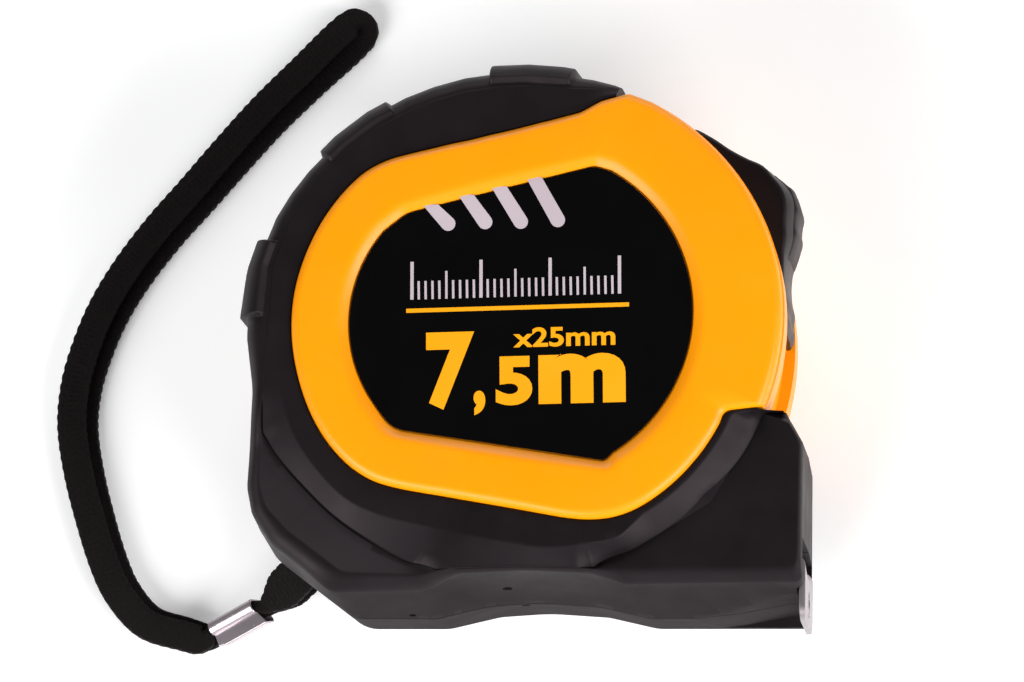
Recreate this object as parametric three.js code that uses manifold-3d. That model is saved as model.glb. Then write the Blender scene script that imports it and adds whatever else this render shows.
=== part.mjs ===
// Pocket tape measure, 7.5 m x 25 mm, lying on its belt clip. Units are millimetres, +Z is up.
// X runs towards the mouth, Y towards the top of the case and Z out of the labelled face.
// The origin is on the reel axis, in the plane of the belt clip's flat outer face.

import * as THREE from 'three';
import { mergeVertices } from 'three/addons/utils/BufferGeometryUtils.js';
import Module from 'manifold-3d';

// ---------------------------------------------------------------- driving dimensions

const GAP = 0.3;                 // gap kept between two touching pieces
const RUNNING_GAP = 0.1;         // radial clearance of the reel on its post

const BLADE_WIDTH = 25;
const BLADE_THICKNESS = 0.15;
const BLADE_CURVE_RADIUS = 31.3; // radius of the blade's curved cross-section
const BLADE_MID_Y = -36.6;       // lowest line of the blade's mid surface
const BLADE_TAIL_X = 2;
const BLADE_END_X = 38.6;
const COIL_OUTER_RADIUS = 26.5;
const DRUM_RADIUS = 18;
const DRUM_WALL = 1.4;
const FLANGE_RADIUS = 28;
const FLANGE_THICKNESS = 1;
const POST_RADIUS = 3.4;
const POST_SLOT = 1;
const SPRING_INNER_RADIUS = 12;
const SPRING_STRIP = 0.4;
const SPRING_TANG_RADIUS = 4.2;  // where the spring's inner end turns in to the post
const SPRING_HALF_WIDTH = 10;

const FACE_HALF = 18.5;          // yellow ring face to parting plane
const SHOULDER_HALF = 15.5;      // shell under the rubber to parting plane
const GRIP_HALF = 17.3;          // rubber face to parting plane
const PARTING_HALF_GAP = 0.15;
const CLIP_STANDOFF = 4.5;       // rear face to the clip's outer face
const PARTING_HEIGHT = FACE_HALF + CLIP_STANDOFF;

const CASE_RADIUS = 37.2;        // round right-hand side of the case, about the reel axis
const RING_START = -20;          // degrees, where the round side meets the mouth block
const RING_END = 66;             // degrees, where the rubber starts at the top
const BACK_X = -5.2;             // centre of the round back of the case
const BACK_Y = 2.8;
const BACK_RADIUS = 35.4;
const RUBBER = 2.5;
const BASE_Y = -42;
const MOUTH_X = 40;
const SHELL_BASE_Y = -38.5;
const SHELL_MOUTH_X = 37.4;
const ARCH_START_X = -14;
const ARCH_END_X = 16.8;
const ARCH_CONTROL_Y = -37.9;
const GRIP_BEVEL = 3.2;
const GRIP_BEVEL_DEPTH = 3.5;
const RING_BEVEL = 1.2;
const SHOULDER_BEVEL = 1.2;

const LABEL_FACE = 18;
const LABEL_THICKNESS = 0.5;
const LABEL_RADIUS = 24;
const LABEL_BACK_RADIUS = 21.3;

const CAVITY_RADIUS = 30;
const CAVITY_HALF = 14.1;
const CHANNEL_HALF = 13.6;
const CHANNEL_FLOOR_Y = -37.5;
const MOUTH_SLOT_TOP_Y = -32.6;

const LOCK_HALF_WIDTH = 9;
const LOCK_SKIRT_INNER = 36;
const LOCK_SKIRT_OUTER = 37.6;
const LOCK_BLOCK_HALF_WIDTH = 8;
const LOCK_PAD_HALF_WIDTH = 6.3;
const LOCK_ARM_INNER = 31;
const LOCK_ARM_OUTER = 33.4;
const LOCK_ARM_HALF_WIDTH = 5;
const LOCK_NECK_HALF_WIDTH = 3;

const HOOK_THICKNESS = 0.9;
const HOOK_HALF_WIDTH = 9;
const HOOK_BACK_X = 29.5;
const HOOK_LEG_X = 39.2;
const HOOK_TIP_Y = -43.4;
const HOOK_FLOAT = 0.8;          // true-zero travel of the hook on its rivets
const RIVET_RADIUS = 1;
const RIVET_HEAD_RADIUS = 1.9;
const RIVET_HEAD = 0.6;

const SCREW_RADIUS = 1.2;
const SCREW_HEAD_RADIUS = 2.3;
const SCREW_HEAD = 1.6;
const SCREW_PLACES = [[-28.6, 21.8], [15.8, 29.7], [-24.3, -31], [34.2, -20.4]];

const CLIP_THICKNESS = 1.2;
const CLIP_HALF_WIDTH = 10;
const CLIP_TAB_GAP = 0.5;
const CLIP_SCREW_Y = 19.5;
const PEDESTAL_HALF_WIDTH = 11;
const PEDESTAL_LOW_Y = 9.7;

const PIN_X = -33.8;             // strap pin, in the lower back corner
const PIN_Y = -31.3;
const PIN_HEIGHT = 10.4;
const PIN_RADIUS = 1.1;
const PIN_HALF_LENGTH = 5.9;
const POCKET_HALF_WIDTH = 4.6;
const POCKET_HALF_HEIGHT = 3.5;
const STRAP_ANGLE = 36.4;        // degrees, the strap's heading inward across the corner

const STRAP_WIDTH = 5;
const STRAP_THICKNESS = 1.5;
const STRAP_LAYER = 1.9;         // height between the two strands
const STRAP_FLOOR_GAP = 0.3;
const FERRULE_NEAR = [-43.6, -38.4, 5.6];
const FERRULE_FAR = [-50.4, -41.5, 2.6];
const LEAD = 1.5;                // straight stretch of strap at each end of the ferrule
const FERRULE_WIDTH = 4.2;
const FERRULE_THICKNESS = 3.8;

// Centre line between the two strands of the wrist loop, from the ferrule to the folded end.
const STRAP_ROUTE = [
  [-55.7, -41.2], [-61.2, -39.4], [-65.2, -35.1], [-67.6, -30.3], [-69.9, -23.5], [-71.8, -16.6],
  [-73.0, -9.6], [-72.7, -3.6], [-71.3, 2.1], [-68.9, 8.3], [-65.4, 14.4], [-60.7, 20.8],
  [-55.6, 26.7], [-50.7, 32.5], [-44.8, 39.2], [-39.0, 45.0], [-31.6, 52.2],
];
const STRAND_SPREAD_START = 0.9; // sideways offset between the strands near the ferrule
const STRAND_SPREAD_END = 2.4;   // and at the folded end

// ---------------------------------------------------------------- solids

const wasm = await Module();
wasm.setup();

const radians = THREE.MathUtils.degToRad;

function signedVolume(positions, index) {
  const a = new THREE.Vector3();
  const b = new THREE.Vector3();
  const c = new THREE.Vector3();
  let total = 0;
  for (let i = 0; i < index.length; i += 3) {
    a.fromArray(positions, 3 * index[i]);
    b.fromArray(positions, 3 * index[i + 1]);
    c.fromArray(positions, 3 * index[i + 2]);
    total += a.dot(b.cross(c)) / 6;
  }
  return total;
}

// A closed geometry as a solid, with shared vertices and its faces pointing out.
function solid(geometry) {
  const bare = geometry.clone();
  bare.deleteAttribute('normal');
  bare.deleteAttribute('uv');
  const merged = mergeVertices(bare, 1e-4);
  const vertProperties = merged.attributes.position.array;
  const triVerts = new Uint32Array(merged.index.array);
  if (signedVolume(vertProperties, triVerts) < 0) {
    for (let i = 0; i < triVerts.length; i += 3) {
      [triVerts[i], triVerts[i + 1]] = [triVerts[i + 1], triVerts[i]];
    }
  }
  return new wasm.Manifold(new wasm.Mesh({ numProp: 3, vertProperties, triVerts }));
}

function geometryOf(manifold) {
  const mesh = manifold.getMesh();
  const geometry = new THREE.BufferGeometry();
  geometry.setAttribute('position', new THREE.BufferAttribute(mesh.vertProperties, 3));
  geometry.setIndex(new THREE.BufferAttribute(mesh.triVerts, 1));
  geometry.computeVertexNormals();
  return geometry;
}

// The shape as one polygon, without points that lie on top of each other.
function faceted(shape, curveSegments) {
  const points = shape.extractPoints(curveSegments).shape;
  return new THREE.Shape(points.filter((point, i) => point.distanceTo(points.at(i - 1)) > 0.01));
}

// An outline pushed up from z0 to z1. A bevel narrows both ends by bevelSize over bevelDepth.
function prism(shape, z0, z1, bevelSize = 0, bevelDepth = bevelSize, curveSegments = 12) {
  const geometry = new THREE.ExtrudeGeometry(faceted(shape, curveSegments), {
    depth: z1 - z0 - 2 * bevelDepth,
    bevelEnabled: bevelSize > 0,
    bevelSize,
    bevelOffset: -bevelSize,
    bevelThickness: bevelDepth,
    bevelSegments: 1,
  });
  geometry.translate(0, 0, z0 + bevelDepth);
  return solid(geometry);
}

function box(x0, x1, y0, y1, z0, z1) {
  const geometry = new THREE.BoxGeometry(x1 - x0, y1 - y0, z1 - z0);
  geometry.translate((x0 + x1) / 2, (y0 + y1) / 2, (z0 + z1) / 2);
  return solid(geometry);
}

// A ring or disc about Z from a closed profile of [radius, z] points.
function turned(profile, segments = 36) {
  const points = profile.map(([r, z]) => new THREE.Vector2(r, z));
  const geometry = new THREE.LatheGeometry(points, segments);
  geometry.rotateX(Math.PI / 2);
  return solid(geometry);
}

function ring(r0, r1, z0, z1, segments = 36) {
  return turned([[r0, z0], [r1, z0], [r1, z1], [r0, z1], [r0, z0]], segments);
}

function cylinder(x, y, radius, z0, z1, segments = 14) {
  const geometry = new THREE.CylinderGeometry(radius, radius, z1 - z0, segments);
  geometry.rotateX(Math.PI / 2);
  geometry.translate(x, y, (z0 + z1) / 2);
  return solid(geometry);
}

function polygon(points) {
  return new THREE.Shape(points.map(([x, y]) => new THREE.Vector2(x, y)));
}

// A slice of a ring about (x, y), between two angles in degrees.
function sector(r0, r1, from, to, x = 0, y = 0) {
  const shape = new THREE.Shape();
  shape.absarc(x, y, r1, radians(from), radians(to), false);
  shape.absarc(x, y, r0, radians(to), radians(from), true);
  shape.closePath();
  return shape;
}

// ---------------------------------------------------------------- case outlines

// The outside of the case.
function caseOutline() {
  const shape = new THREE.Shape();
  shape.moveTo(MOUTH_X, BASE_Y);
  shape.lineTo(MOUTH_X, -18.3);
  shape.absarc(0, 0, CASE_RADIUS, radians(RING_START), radians(RING_END), false);
  shape.lineTo(10.5, 36.4);
  shape.absarc(BACK_X, BACK_Y, BACK_RADIUS, radians(75), radians(178), false);
  shape.lineTo(-41.1, -10.5);
  shape.lineTo(-42.1, -24.5);
  shape.lineTo(-41.2, -28.4);
  shape.lineTo(-38.2, -33.2);
  shape.lineTo(-26, BASE_Y);
  shape.lineTo(ARCH_START_X, BASE_Y);
  shape.quadraticCurveTo((ARCH_START_X + ARCH_END_X) / 2, ARCH_CONTROL_Y, ARCH_END_X, BASE_Y);
  shape.closePath();
  return shape;
}

// The hard shell where the rubber covers it. grow pushes an outline outwards.
function shoulderOutline(grow) {
  const shape = new THREE.Shape();
  shape.moveTo(SHELL_MOUTH_X + grow, SHELL_BASE_Y - grow);
  shape.lineTo(SHELL_MOUTH_X + grow, -19.2 + grow);
  shape.absarc(0, 0, CASE_RADIUS + grow, radians(RING_START), radians(RING_END), false);
  shape.absarc(BACK_X, BACK_Y, BACK_RADIUS - RUBBER + grow, radians(84), radians(178), false);
  shape.lineTo(-39.2 - grow, -24.5);
  shape.lineTo(-36.8 - grow, -31.6 - grow);
  shape.lineTo(-27.6 - grow, SHELL_BASE_Y - grow);
  shape.closePath();
  return shape;
}

// The yellow ring's outer edge.
function faceOutline(grow) {
  const shape = new THREE.Shape();
  shape.absarc(0, 0, CASE_RADIUS - 0.2 + grow, radians(RING_START - 1), radians(RING_END), false);
  shape.absarc(-5.4, -0.9, 29.4 + grow, radians(125.6), radians(233.5), false);
  shape.absarc(0, 0, 32.3 + grow, radians(-64), radians(-26.5), false);
  shape.closePath();
  return shape;
}

function labelOutline(grow) {
  const shape = new THREE.Shape();
  shape.absarc(0, 0, LABEL_RADIUS + grow, radians(-61.5), radians(66.5), false);
  shape.absarc(-4.7, -1.1, LABEL_BACK_RADIUS + grow, radians(127.5), radians(226.5), false);
  shape.closePath();
  return shape;
}

// ---------------------------------------------------------------- hollows in the case

function caseHollows() {
  const reelRoom = cylinder(0, 0, CAVITY_RADIUS, -CAVITY_HALF, CAVITY_HALF, 48);
  const postSocket = cylinder(0, 0, POST_RADIUS + GAP, -15.2, 15.2);
  const bladeRoom = box(-19, 30, CHANNEL_FLOOR_Y, -20, -CHANNEL_HALF, CHANNEL_HALF);
  const mouthSlot = box(29, 42, CHANNEL_FLOOR_Y, MOUTH_SLOT_TOP_Y, -CHANNEL_HALF, CHANNEL_HALF);
  const lockTrack = prism(sector(35.7, 42, -12, 53), -9.3, 9.3);
  const lockSlot = prism(sector(33.5, 36.5, 12, 37), -3.3, 3.3);
  const armRoom = prism(sector(28, 34.3, -20, 45), -6.3, 6.3);
  const armShape = polygon([
    [24, -8], [33, -9], [31.6, -18], [30.4, -24], [30.4, -30], [15, -30], [15, -20],
  ]);
  const lowerArmRoom = prism(armShape, -6.3, 6.3);
  return [reelRoom, postSocket, bladeRoom, mouthSlot, lockTrack, lockSlot, armRoom, lowerArmRoom,
    mouthBumper(GAP), strapPocket()];
}

// The rubber stop that the hook's leg comes home against.
function mouthBumper(grow) {
  return box(35.9 - grow, 38.9 + grow, SHELL_BASE_Y - grow, CHANNEL_FLOOR_Y + grow, -9 - grow, 9 + grow);
}

// A solid built about the strap pin: x along the strap's heading, y along the pin, z up.
function atStrapPin(manifold) {
  return manifold.rotate([0, 0, STRAP_ANGLE]).translate([PIN_X, PIN_Y, PIN_HEIGHT - PARTING_HEIGHT]);
}

function pinBar(radius, halfLength) {
  const geometry = new THREE.CylinderGeometry(radius, radius, 2 * halfLength, 20);
  return atStrapPin(solid(geometry));
}

function strapPocket() {
  const w = POCKET_HALF_WIDTH;
  const h = POCKET_HALF_HEIGHT;
  const room = box(-12, 3.6, -w, w, -h, h);
  return atStrapPin(room).add(pinBar(PIN_RADIUS + GAP, PIN_HALF_LENGTH + GAP));
}

function cutAll(body, cutters) {
  return cutters.reduce((left, cutter) => left.subtract(cutter), body);
}

function frontHalf(body) {
  return body.intersect(box(-60, 60, -60, 60, PARTING_HALF_GAP, 30));
}

function rearHalf(body) {
  return body.intersect(box(-60, 60, -60, 60, -30, -PARTING_HALF_GAP));
}

// ---------------------------------------------------------------- case pieces

function labelRecess(side) {
  const floor = side * (LABEL_FACE - LABEL_THICKNESS - GAP);
  const recess = prism(labelOutline(GAP), Math.min(floor, side * 20), Math.max(floor, side * 20));
  return side > 0 ? recess : recess.subtract(pedestal(0));
}

function pedestal(grow) {
  return box(-PEDESTAL_HALF_WIDTH - grow, PEDESTAL_HALF_WIDTH + grow, PEDESTAL_LOW_Y - grow, 26, -20, -15);
}

function screwHoles(side) {
  return SCREW_PLACES.map(([x, y]) => {
    if (side > 0) {
      return cylinder(x, y, SCREW_RADIUS + GAP, -1, 12.5);
    }
    const shank = cylinder(x, y, SCREW_RADIUS + GAP, -20, 1);
    return shank.add(cylinder(x, y, SCREW_HEAD_RADIUS + GAP, -20, -13.2));
  });
}

const shellBlank = prism(shoulderOutline(0), -SHOULDER_HALF, SHOULDER_HALF, SHOULDER_BEVEL)
  .add(prism(faceOutline(0), -FACE_HALF, FACE_HALF, RING_BEVEL));
const shellBody = cutAll(shellBlank, caseHollows());

function frontShell() {
  return cutAll(frontHalf(shellBody), [labelRecess(1), ...screwHoles(1)]);
}

function rearShell() {
  const clipScrewHole = cylinder(0, CLIP_SCREW_Y, 1.5 + GAP, -20, -15.1);
  return cutAll(rearHalf(shellBody), [labelRecess(-1), clipScrewHole, ...screwHoles(-1)]);
}

function gripBody() {
  const pads = [[37.2, 72, 93], [36.6, 117.5, 139.5], [38.2, 164.5, 183]].map(([radius, from, to]) =>
    prism(sector(33.8, radius, from, to, BACK_X, BACK_Y), -12, 12));
  let body = prism(caseOutline(), -GRIP_HALF, GRIP_HALF, GRIP_BEVEL, GRIP_BEVEL_DEPTH);
  for (const pad of pads) {
    body = body.add(pad);
  }
  const shell = prism(shoulderOutline(GAP), -SHOULDER_HALF - GAP, SHOULDER_HALF + GAP, SHOULDER_BEVEL);
  const face = prism(faceOutline(GAP), -20, 20);
  const slotTop = MOUTH_SLOT_TOP_Y + GAP;
  const mouthSlot = box(36, 42, CHANNEL_FLOOR_Y - GAP, slotTop, -CHANNEL_HALF, CHANNEL_HALF);
  const hookRecess = box(38.9, 42, -43, slotTop, -10.5, 10.5);
  const scoopSide = polygon([[24, -42.5], [24, -42], [MOUTH_X + 1, -39.5], [MOUTH_X + 1, -42.5]]);
  const scoop = prism(scoopSide, -12, 12);
  return cutAll(body, [shell, face, mouthSlot, hookRecess, scoop, mouthBumper(GAP), strapPocket()]);
}

function rearGrip() {
  const holes = SCREW_PLACES.map(([x, y]) => cylinder(x, y, SCREW_HEAD_RADIUS + GAP, -20, -13));
  return cutAll(rearHalf(gripBody()), holes);
}

function frontLabel() {
  return prism(labelOutline(0), LABEL_FACE - LABEL_THICKNESS, LABEL_FACE);
}

function rearLabel() {
  return prism(labelOutline(0), -LABEL_FACE, LABEL_THICKNESS - LABEL_FACE).subtract(pedestal(GAP));
}

function caseScrew(x, y) {
  const shank = cylinder(x, y, SCREW_RADIUS, -14, 12);
  const head = cylinder(x, y, SCREW_HEAD_RADIUS, -13.5 - SCREW_HEAD, -13.5);
  const slotA = box(x - 1.4, x + 1.4, y - 0.35, y + 0.35, -16, -14.3);
  const slotB = box(x - 0.35, x + 0.35, y - 1.4, y + 1.4, -16, -14.3);
  return shank.add(head).subtract(slotA).subtract(slotB);
}

// ---------------------------------------------------------------- belt clip

// A bent strip: the profile lies in the Y-Z plane and is pushed along X.
function beltClip() {
  const low = -PARTING_HEIGHT;
  const tab = -FACE_HALF - CLIP_TAB_GAP;
  const t = CLIP_THICKNESS;
  const profile = polygon([
    [25, tab], [11.5, tab], [7.5, low + t], [-14, low + t], [-20, -19.2], [-24.4, -20.8],
    [-24, -20.8 - t], [-20, -19.4 - t], [-14.6, low], [7, low], [11, tab - t], [25, tab - t],
  ]);
  const geometry = new THREE.ExtrudeGeometry(profile, { depth: 2 * CLIP_HALF_WIDTH, bevelEnabled: false });
  geometry.rotateY(Math.PI / 2);
  geometry.rotateX(Math.PI / 2);
  geometry.translate(-CLIP_HALF_WIDTH, 0, 0);
  return solid(geometry).subtract(cylinder(0, CLIP_SCREW_Y, 2.1, -22, -18));
}

function clipScrew() {
  const shank = cylinder(0, CLIP_SCREW_Y, 1.5, -21, -15.4);
  const headTop = -FACE_HALF - CLIP_TAB_GAP - CLIP_THICKNESS - GAP;
  const head = cylinder(0, CLIP_SCREW_Y, 3, headTop - 1.3, headTop);
  const slotA = box(-1.8, 1.8, CLIP_SCREW_Y - 0.4, CLIP_SCREW_Y + 0.4, headTop - 2, headTop - 0.6);
  const slotB = box(-0.4, 0.4, CLIP_SCREW_Y - 1.8, CLIP_SCREW_Y + 1.8, headTop - 2, headTop - 0.6);
  return shank.add(head).subtract(slotA).subtract(slotB);
}

// ---------------------------------------------------------------- reel and blade

const bladeHalf = BLADE_WIDTH / 2;

function centrePost() {
  const slot = box(-POST_SLOT / 2, POST_SLOT / 2, -5, 5, -SPRING_HALF_WIDTH - GAP, SPRING_HALF_WIDTH + GAP);
  return cylinder(0, 0, POST_RADIUS, -14.9, 14.9, 40).subtract(slot);
}

function reelDrum() {
  const bore = POST_RADIUS + RUNNING_GAP;
  const inner = DRUM_RADIUS - DRUM_WALL;
  const near = bladeHalf + GAP;
  const far = near + FLANGE_THICKNESS;
  return turned([[bore, near], [inner, near], [inner, -bladeHalf], [DRUM_RADIUS, -bladeHalf],
    [DRUM_RADIUS, near], [FLANGE_RADIUS, near], [FLANGE_RADIUS, far], [bore, far], [bore, near]]);
}

function reelCover() {
  const near = -bladeHalf - GAP;
  return ring(POST_RADIUS + RUNNING_GAP, FLANGE_RADIUS, near - FLANGE_THICKNESS, near);
}

// Packed turns against the drum wall, with one open turn running in to the post's slot.
function powerSpring() {
  const outer = DRUM_RADIUS - DRUM_WALL - GAP;
  const turns = ring(SPRING_INNER_RADIUS, outer, -SPRING_HALF_WIDTH, SPRING_HALF_WIDTH);
  const steps = 24;
  const inside = [];
  const outside = [];
  for (let i = 0; i <= steps; i++) {
    const angle = Math.PI / 2 + 2 * Math.PI * i / steps;
    const radius = THREE.MathUtils.lerp(SPRING_TANG_RADIUS, SPRING_INNER_RADIUS + SPRING_STRIP, i / steps);
    const inner = radius - SPRING_STRIP / 2;
    const outerEdge = radius + SPRING_STRIP / 2;
    inside.push([inner * Math.cos(angle), inner * Math.sin(angle)]);
    outside.push([outerEdge * Math.cos(angle), outerEdge * Math.sin(angle)]);
  }
  const strip = prism(polygon([...inside, ...outside.reverse()]), -SPRING_HALF_WIDTH, SPRING_HALF_WIDTH);
  const half = SPRING_STRIP / 2;
  const tang = box(-half, half, 0.5, SPRING_TANG_RADIUS + 0.1, -SPRING_HALF_WIDTH, SPRING_HALF_WIDTH);
  return turns.add(strip).add(tang);
}

function bladeCoil() {
  return ring(DRUM_RADIUS + GAP, COIL_OUTER_RADIUS, -bladeHalf, bladeHalf, 48);
}

// An arched strip along X: radii r0 to r1 about a line above the blade.
function archedStrip(r0, r1, halfWidth, x0, x1, segments) {
  const centreY = BLADE_MID_Y + BLADE_CURVE_RADIUS;
  const reach = (r) => Math.asin(halfWidth / r);
  const shape = new THREE.Shape();
  shape.absarc(0, 0, r1, -Math.PI / 2 - reach(r1), -Math.PI / 2 + reach(r1), false);
  shape.absarc(0, 0, r0, -Math.PI / 2 + reach(r0), -Math.PI / 2 - reach(r0), true);
  shape.closePath();
  const geometry = new THREE.ExtrudeGeometry(faceted(shape, segments), { depth: x1 - x0, bevelEnabled: false });
  geometry.rotateY(Math.PI / 2);
  geometry.translate(x0, centreY, 0);
  return solid(geometry);
}

function rivetPlaces() {
  return [[31.8, -4.2], [31.8, 4.2], [35.4, 0]];
}

// A round bar along Y, through the blade and the hook plate.
function uprightBar(x, z, radius, y0, y1, segments = 14) {
  const geometry = new THREE.CylinderGeometry(radius, radius, y1 - y0, segments);
  geometry.translate(x, (y0 + y1) / 2, z);
  return solid(geometry);
}

const bladeInner = BLADE_CURVE_RADIUS - BLADE_THICKNESS / 2;
const bladeOuter = BLADE_CURVE_RADIUS + BLADE_THICKNESS / 2;

function blade() {
  const strip = archedStrip(bladeInner, bladeOuter, bladeHalf, BLADE_TAIL_X, BLADE_END_X, 10);
  return cutAll(strip, rivetPlaces().map(([x, z]) => uprightBar(x, z, RIVET_RADIUS + GAP, -40, -30)));
}

// The stretch between the coil and the straight run, following one bend under the coil.
function bladeLead() {
  const curve = new THREE.CubicBezierCurve3(
    new THREE.Vector3(-23.4, -13.5, 0), new THREE.Vector3(-17, -27, 0),
    new THREE.Vector3(-11, BLADE_MID_Y, 0), new THREE.Vector3(BLADE_TAIL_X - 2 * GAP, BLADE_MID_Y, 0));
  const half = BLADE_THICKNESS / 2;
  const section = polygon([[-bladeHalf, -half], [bladeHalf, -half], [bladeHalf, half], [-bladeHalf, half]]);
  return solid(new THREE.ExtrudeGeometry(section, { steps: 20, extrudePath: curve, bevelEnabled: false }));
}

const plateOuter = bladeInner - GAP;
const plateInner = plateOuter - HOOK_THICKNESS;

function endHook() {
  const plate = archedStrip(plateInner, plateOuter, HOOK_HALF_WIDTH, HOOK_BACK_X, HOOK_LEG_X + 0.5, 8);
  const w = HOOK_HALF_WIDTH;
  const leg = box(HOOK_LEG_X, HOOK_LEG_X + HOOK_THICKNESS, HOOK_TIP_Y, -33.9, -w, w);
  const reach = RIVET_RADIUS + GAP;
  const slots = rivetPlaces().map(([x, z]) => {
    const front = uprightBar(x, z, reach, -40, -30);
    const back = uprightBar(x - HOOK_FLOAT, z, reach, -40, -30);
    return front.add(back).add(box(x - HOOK_FLOAT, x, -40, -30, z - reach, z + reach));
  });
  return cutAll(plate.add(leg), slots);
}

function hookRivet(x, z) {
  const rise = BLADE_CURVE_RADIUS - Math.sqrt(BLADE_CURVE_RADIUS ** 2 - z ** 2);
  const slope = 0.25 + 0.05 * Math.abs(z);
  const top = BLADE_MID_Y + rise + BLADE_THICKNESS / 2 + GAP + HOOK_THICKNESS + slope;
  const bottom = BLADE_MID_Y + rise - BLADE_THICKNESS / 2 - slope;
  const shank = uprightBar(x, z, RIVET_RADIUS, bottom - 0.1, top + 0.1);
  const head = uprightBar(x, z, RIVET_HEAD_RADIUS, top, top + RIVET_HEAD);
  const tail = uprightBar(x, z, RIVET_HEAD_RADIUS - 0.3, bottom - RIVET_HEAD / 2, bottom);
  return shank.add(head).add(tail);
}

// ---------------------------------------------------------------- thumb lock

const lockProfile = [
  [26, 27.6], [31.4, 25.1], [33.6, 24.3], [37.2, 21.8], [39.1, 18.8], [37.4, 9.8],
  [36, 8], [34.6, 12], [29.6, 21.2],
];
const lockPadProfile = [
  [37.2, 21.8], [39.1, 18.8], [37.6, 10.8], [36.4, 11.1], [37.7, 18.5], [36.3, 20.7],
];
const lockPadRoom = [
  [36.9, 22.6], [40.2, 19.4], [38.2, 10.2], [36, 10.8], [37.3, 18.4], [35.8, 20.6],
];

// A prism that reaches the same distance to either side of the parting plane.
function centred(shape, halfWidth) {
  return prism(shape, -halfWidth, halfWidth);
}

function thumbLock() {
  const skirt = centred(sector(LOCK_SKIRT_INNER, LOCK_SKIRT_OUTER, -1, 51), LOCK_HALF_WIDTH);
  const block = centred(polygon(lockProfile), LOCK_BLOCK_HALF_WIDTH);
  const inside = cylinder(0, 0, LOCK_SKIRT_INNER, -10, 10, 64);
  const padRoom = centred(polygon(lockPadRoom), LOCK_PAD_HALF_WIDTH + GAP);
  return skirt.add(block).subtract(inside).subtract(padRoom);
}

function thumbPad() {
  return centred(polygon(lockPadProfile), LOCK_PAD_HALF_WIDTH);
}

function lockArm() {
  const legShape = polygon([
    [29.6, -9], [31.9, -9.4], [28.8, -27], [28.4, -30.6], [23.6, -30.6], [26.4, -27],
  ]);
  const bow = centred(sector(LOCK_ARM_INNER, LOCK_ARM_OUTER, -18, 34), LOCK_ARM_HALF_WIDTH);
  const neck = centred(sector(33, LOCK_SKIRT_INNER - GAP, 24, 33), LOCK_NECK_HALF_WIDTH);
  return bow.add(neck).add(centred(legShape, LOCK_ARM_HALF_WIDTH));
}

function brakePad() {
  return box(23.4, 28.6, -32.2, -30.9, -LOCK_ARM_HALF_WIDTH, LOCK_ARM_HALF_WIDTH);
}

// ---------------------------------------------------------------- wrist strap

const lowerStrandZ = STRAP_FLOOR_GAP + STRAP_THICKNESS / 2;
const upperStrandZ = lowerStrandZ + STRAP_LAYER;
const ferruleNear = new THREE.Vector3(...FERRULE_NEAR);
const ferruleFar = new THREE.Vector3(...FERRULE_FAR);
const ferruleAxis = ferruleFar.clone().sub(ferruleNear).normalize();

// The strap's section: flat, eight-sided, with its width sideways.
function strapSection() {
  const w = STRAP_WIDTH / 2;
  const t = STRAP_THICKNESS / 2;
  const cut = 0.4;
  return polygon([[-t, -w + cut], [-t + cut, -w], [t - cut, -w], [t, -w + cut],
    [t, w - cut], [t - cut, w], [-t + cut, w], [-t, w - cut]]);
}

// A smooth path whose frames keep the strap's width level, however the strap climbs or folds.
class StrapPath extends THREE.CatmullRomCurve3 {
  computeFrenetFrames(segments) {
    const frames = { tangents: [], normals: [], binormals: [] };
    let across = new THREE.Vector3();
    for (let i = 0; i <= segments; i++) {
      const tangent = this.getTangentAt(i / segments);
      const level = new THREE.Vector3(-tangent.y, tangent.x, 0);
      const agreement = level.dot(across);
      if (i === 0 || Math.abs(agreement) > 0.6) {
        across = (agreement < 0 ? level.negate() : level).normalize();
      }
      const binormal = across.clone().projectOnPlane(tangent).normalize();
      frames.tangents.push(tangent);
      frames.binormals.push(binormal);
      frames.normals.push(binormal.clone().cross(tangent));
    }
    return frames;
  }
}

function strapTube(points, steps) {
  const path = new StrapPath(points, false, 'centripetal');
  return solid(new THREE.ExtrudeGeometry(strapSection(), { steps, extrudePath: path, bevelEnabled: false }));
}

// One strand of the wrist loop: side is +1 for the upper strand and -1 for the lower.
function strand(side) {
  const count = STRAP_ROUTE.length;
  return STRAP_ROUTE.map(([x, y], i) => {
    const before = STRAP_ROUTE[Math.max(i - 1, 0)];
    const after = STRAP_ROUTE[Math.min(i + 1, count - 1)];
    const across = new THREE.Vector2(before[1] - after[1], after[0] - before[0]).normalize();
    const spread = THREE.MathUtils.lerp(STRAND_SPREAD_START, STRAND_SPREAD_END, i / (count - 1)) / 2;
    const z = side > 0 ? upperStrandZ : lowerStrandZ;
    return new THREE.Vector3(x + side * spread * across.x, y + side * spread * across.y, z);
  });
}

const ferruleUp = new THREE.Vector3(0, 0, 1).projectOnPlane(ferruleAxis).normalize();

function beside(point, along, up) {
  return point.clone().addScaledVector(ferruleAxis, along).addScaledVector(ferruleUp, up);
}

function wristLoop() {
  const upper = strand(1);
  const lower = strand(-1);
  const last = upper[upper.length - 1].clone().add(lower[lower.length - 1]).multiplyScalar(0.5);
  const before = upper[upper.length - 2].clone().add(lower[lower.length - 2]).multiplyScalar(0.5);
  const outward = last.clone().sub(before).normalize().multiplyScalar(1.4);
  const fold = last.clone().add(outward);
  const leaving = [GAP, LEAD].map((along) => beside(ferruleFar, along, STRAP_LAYER / 2));
  const returning = [LEAD, GAP].map((along) => beside(ferruleFar, along, -STRAP_LAYER / 2));
  return strapTube([...leaving, ...upper, fold, ...lower.reverse(), ...returning], 56);
}

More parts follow.
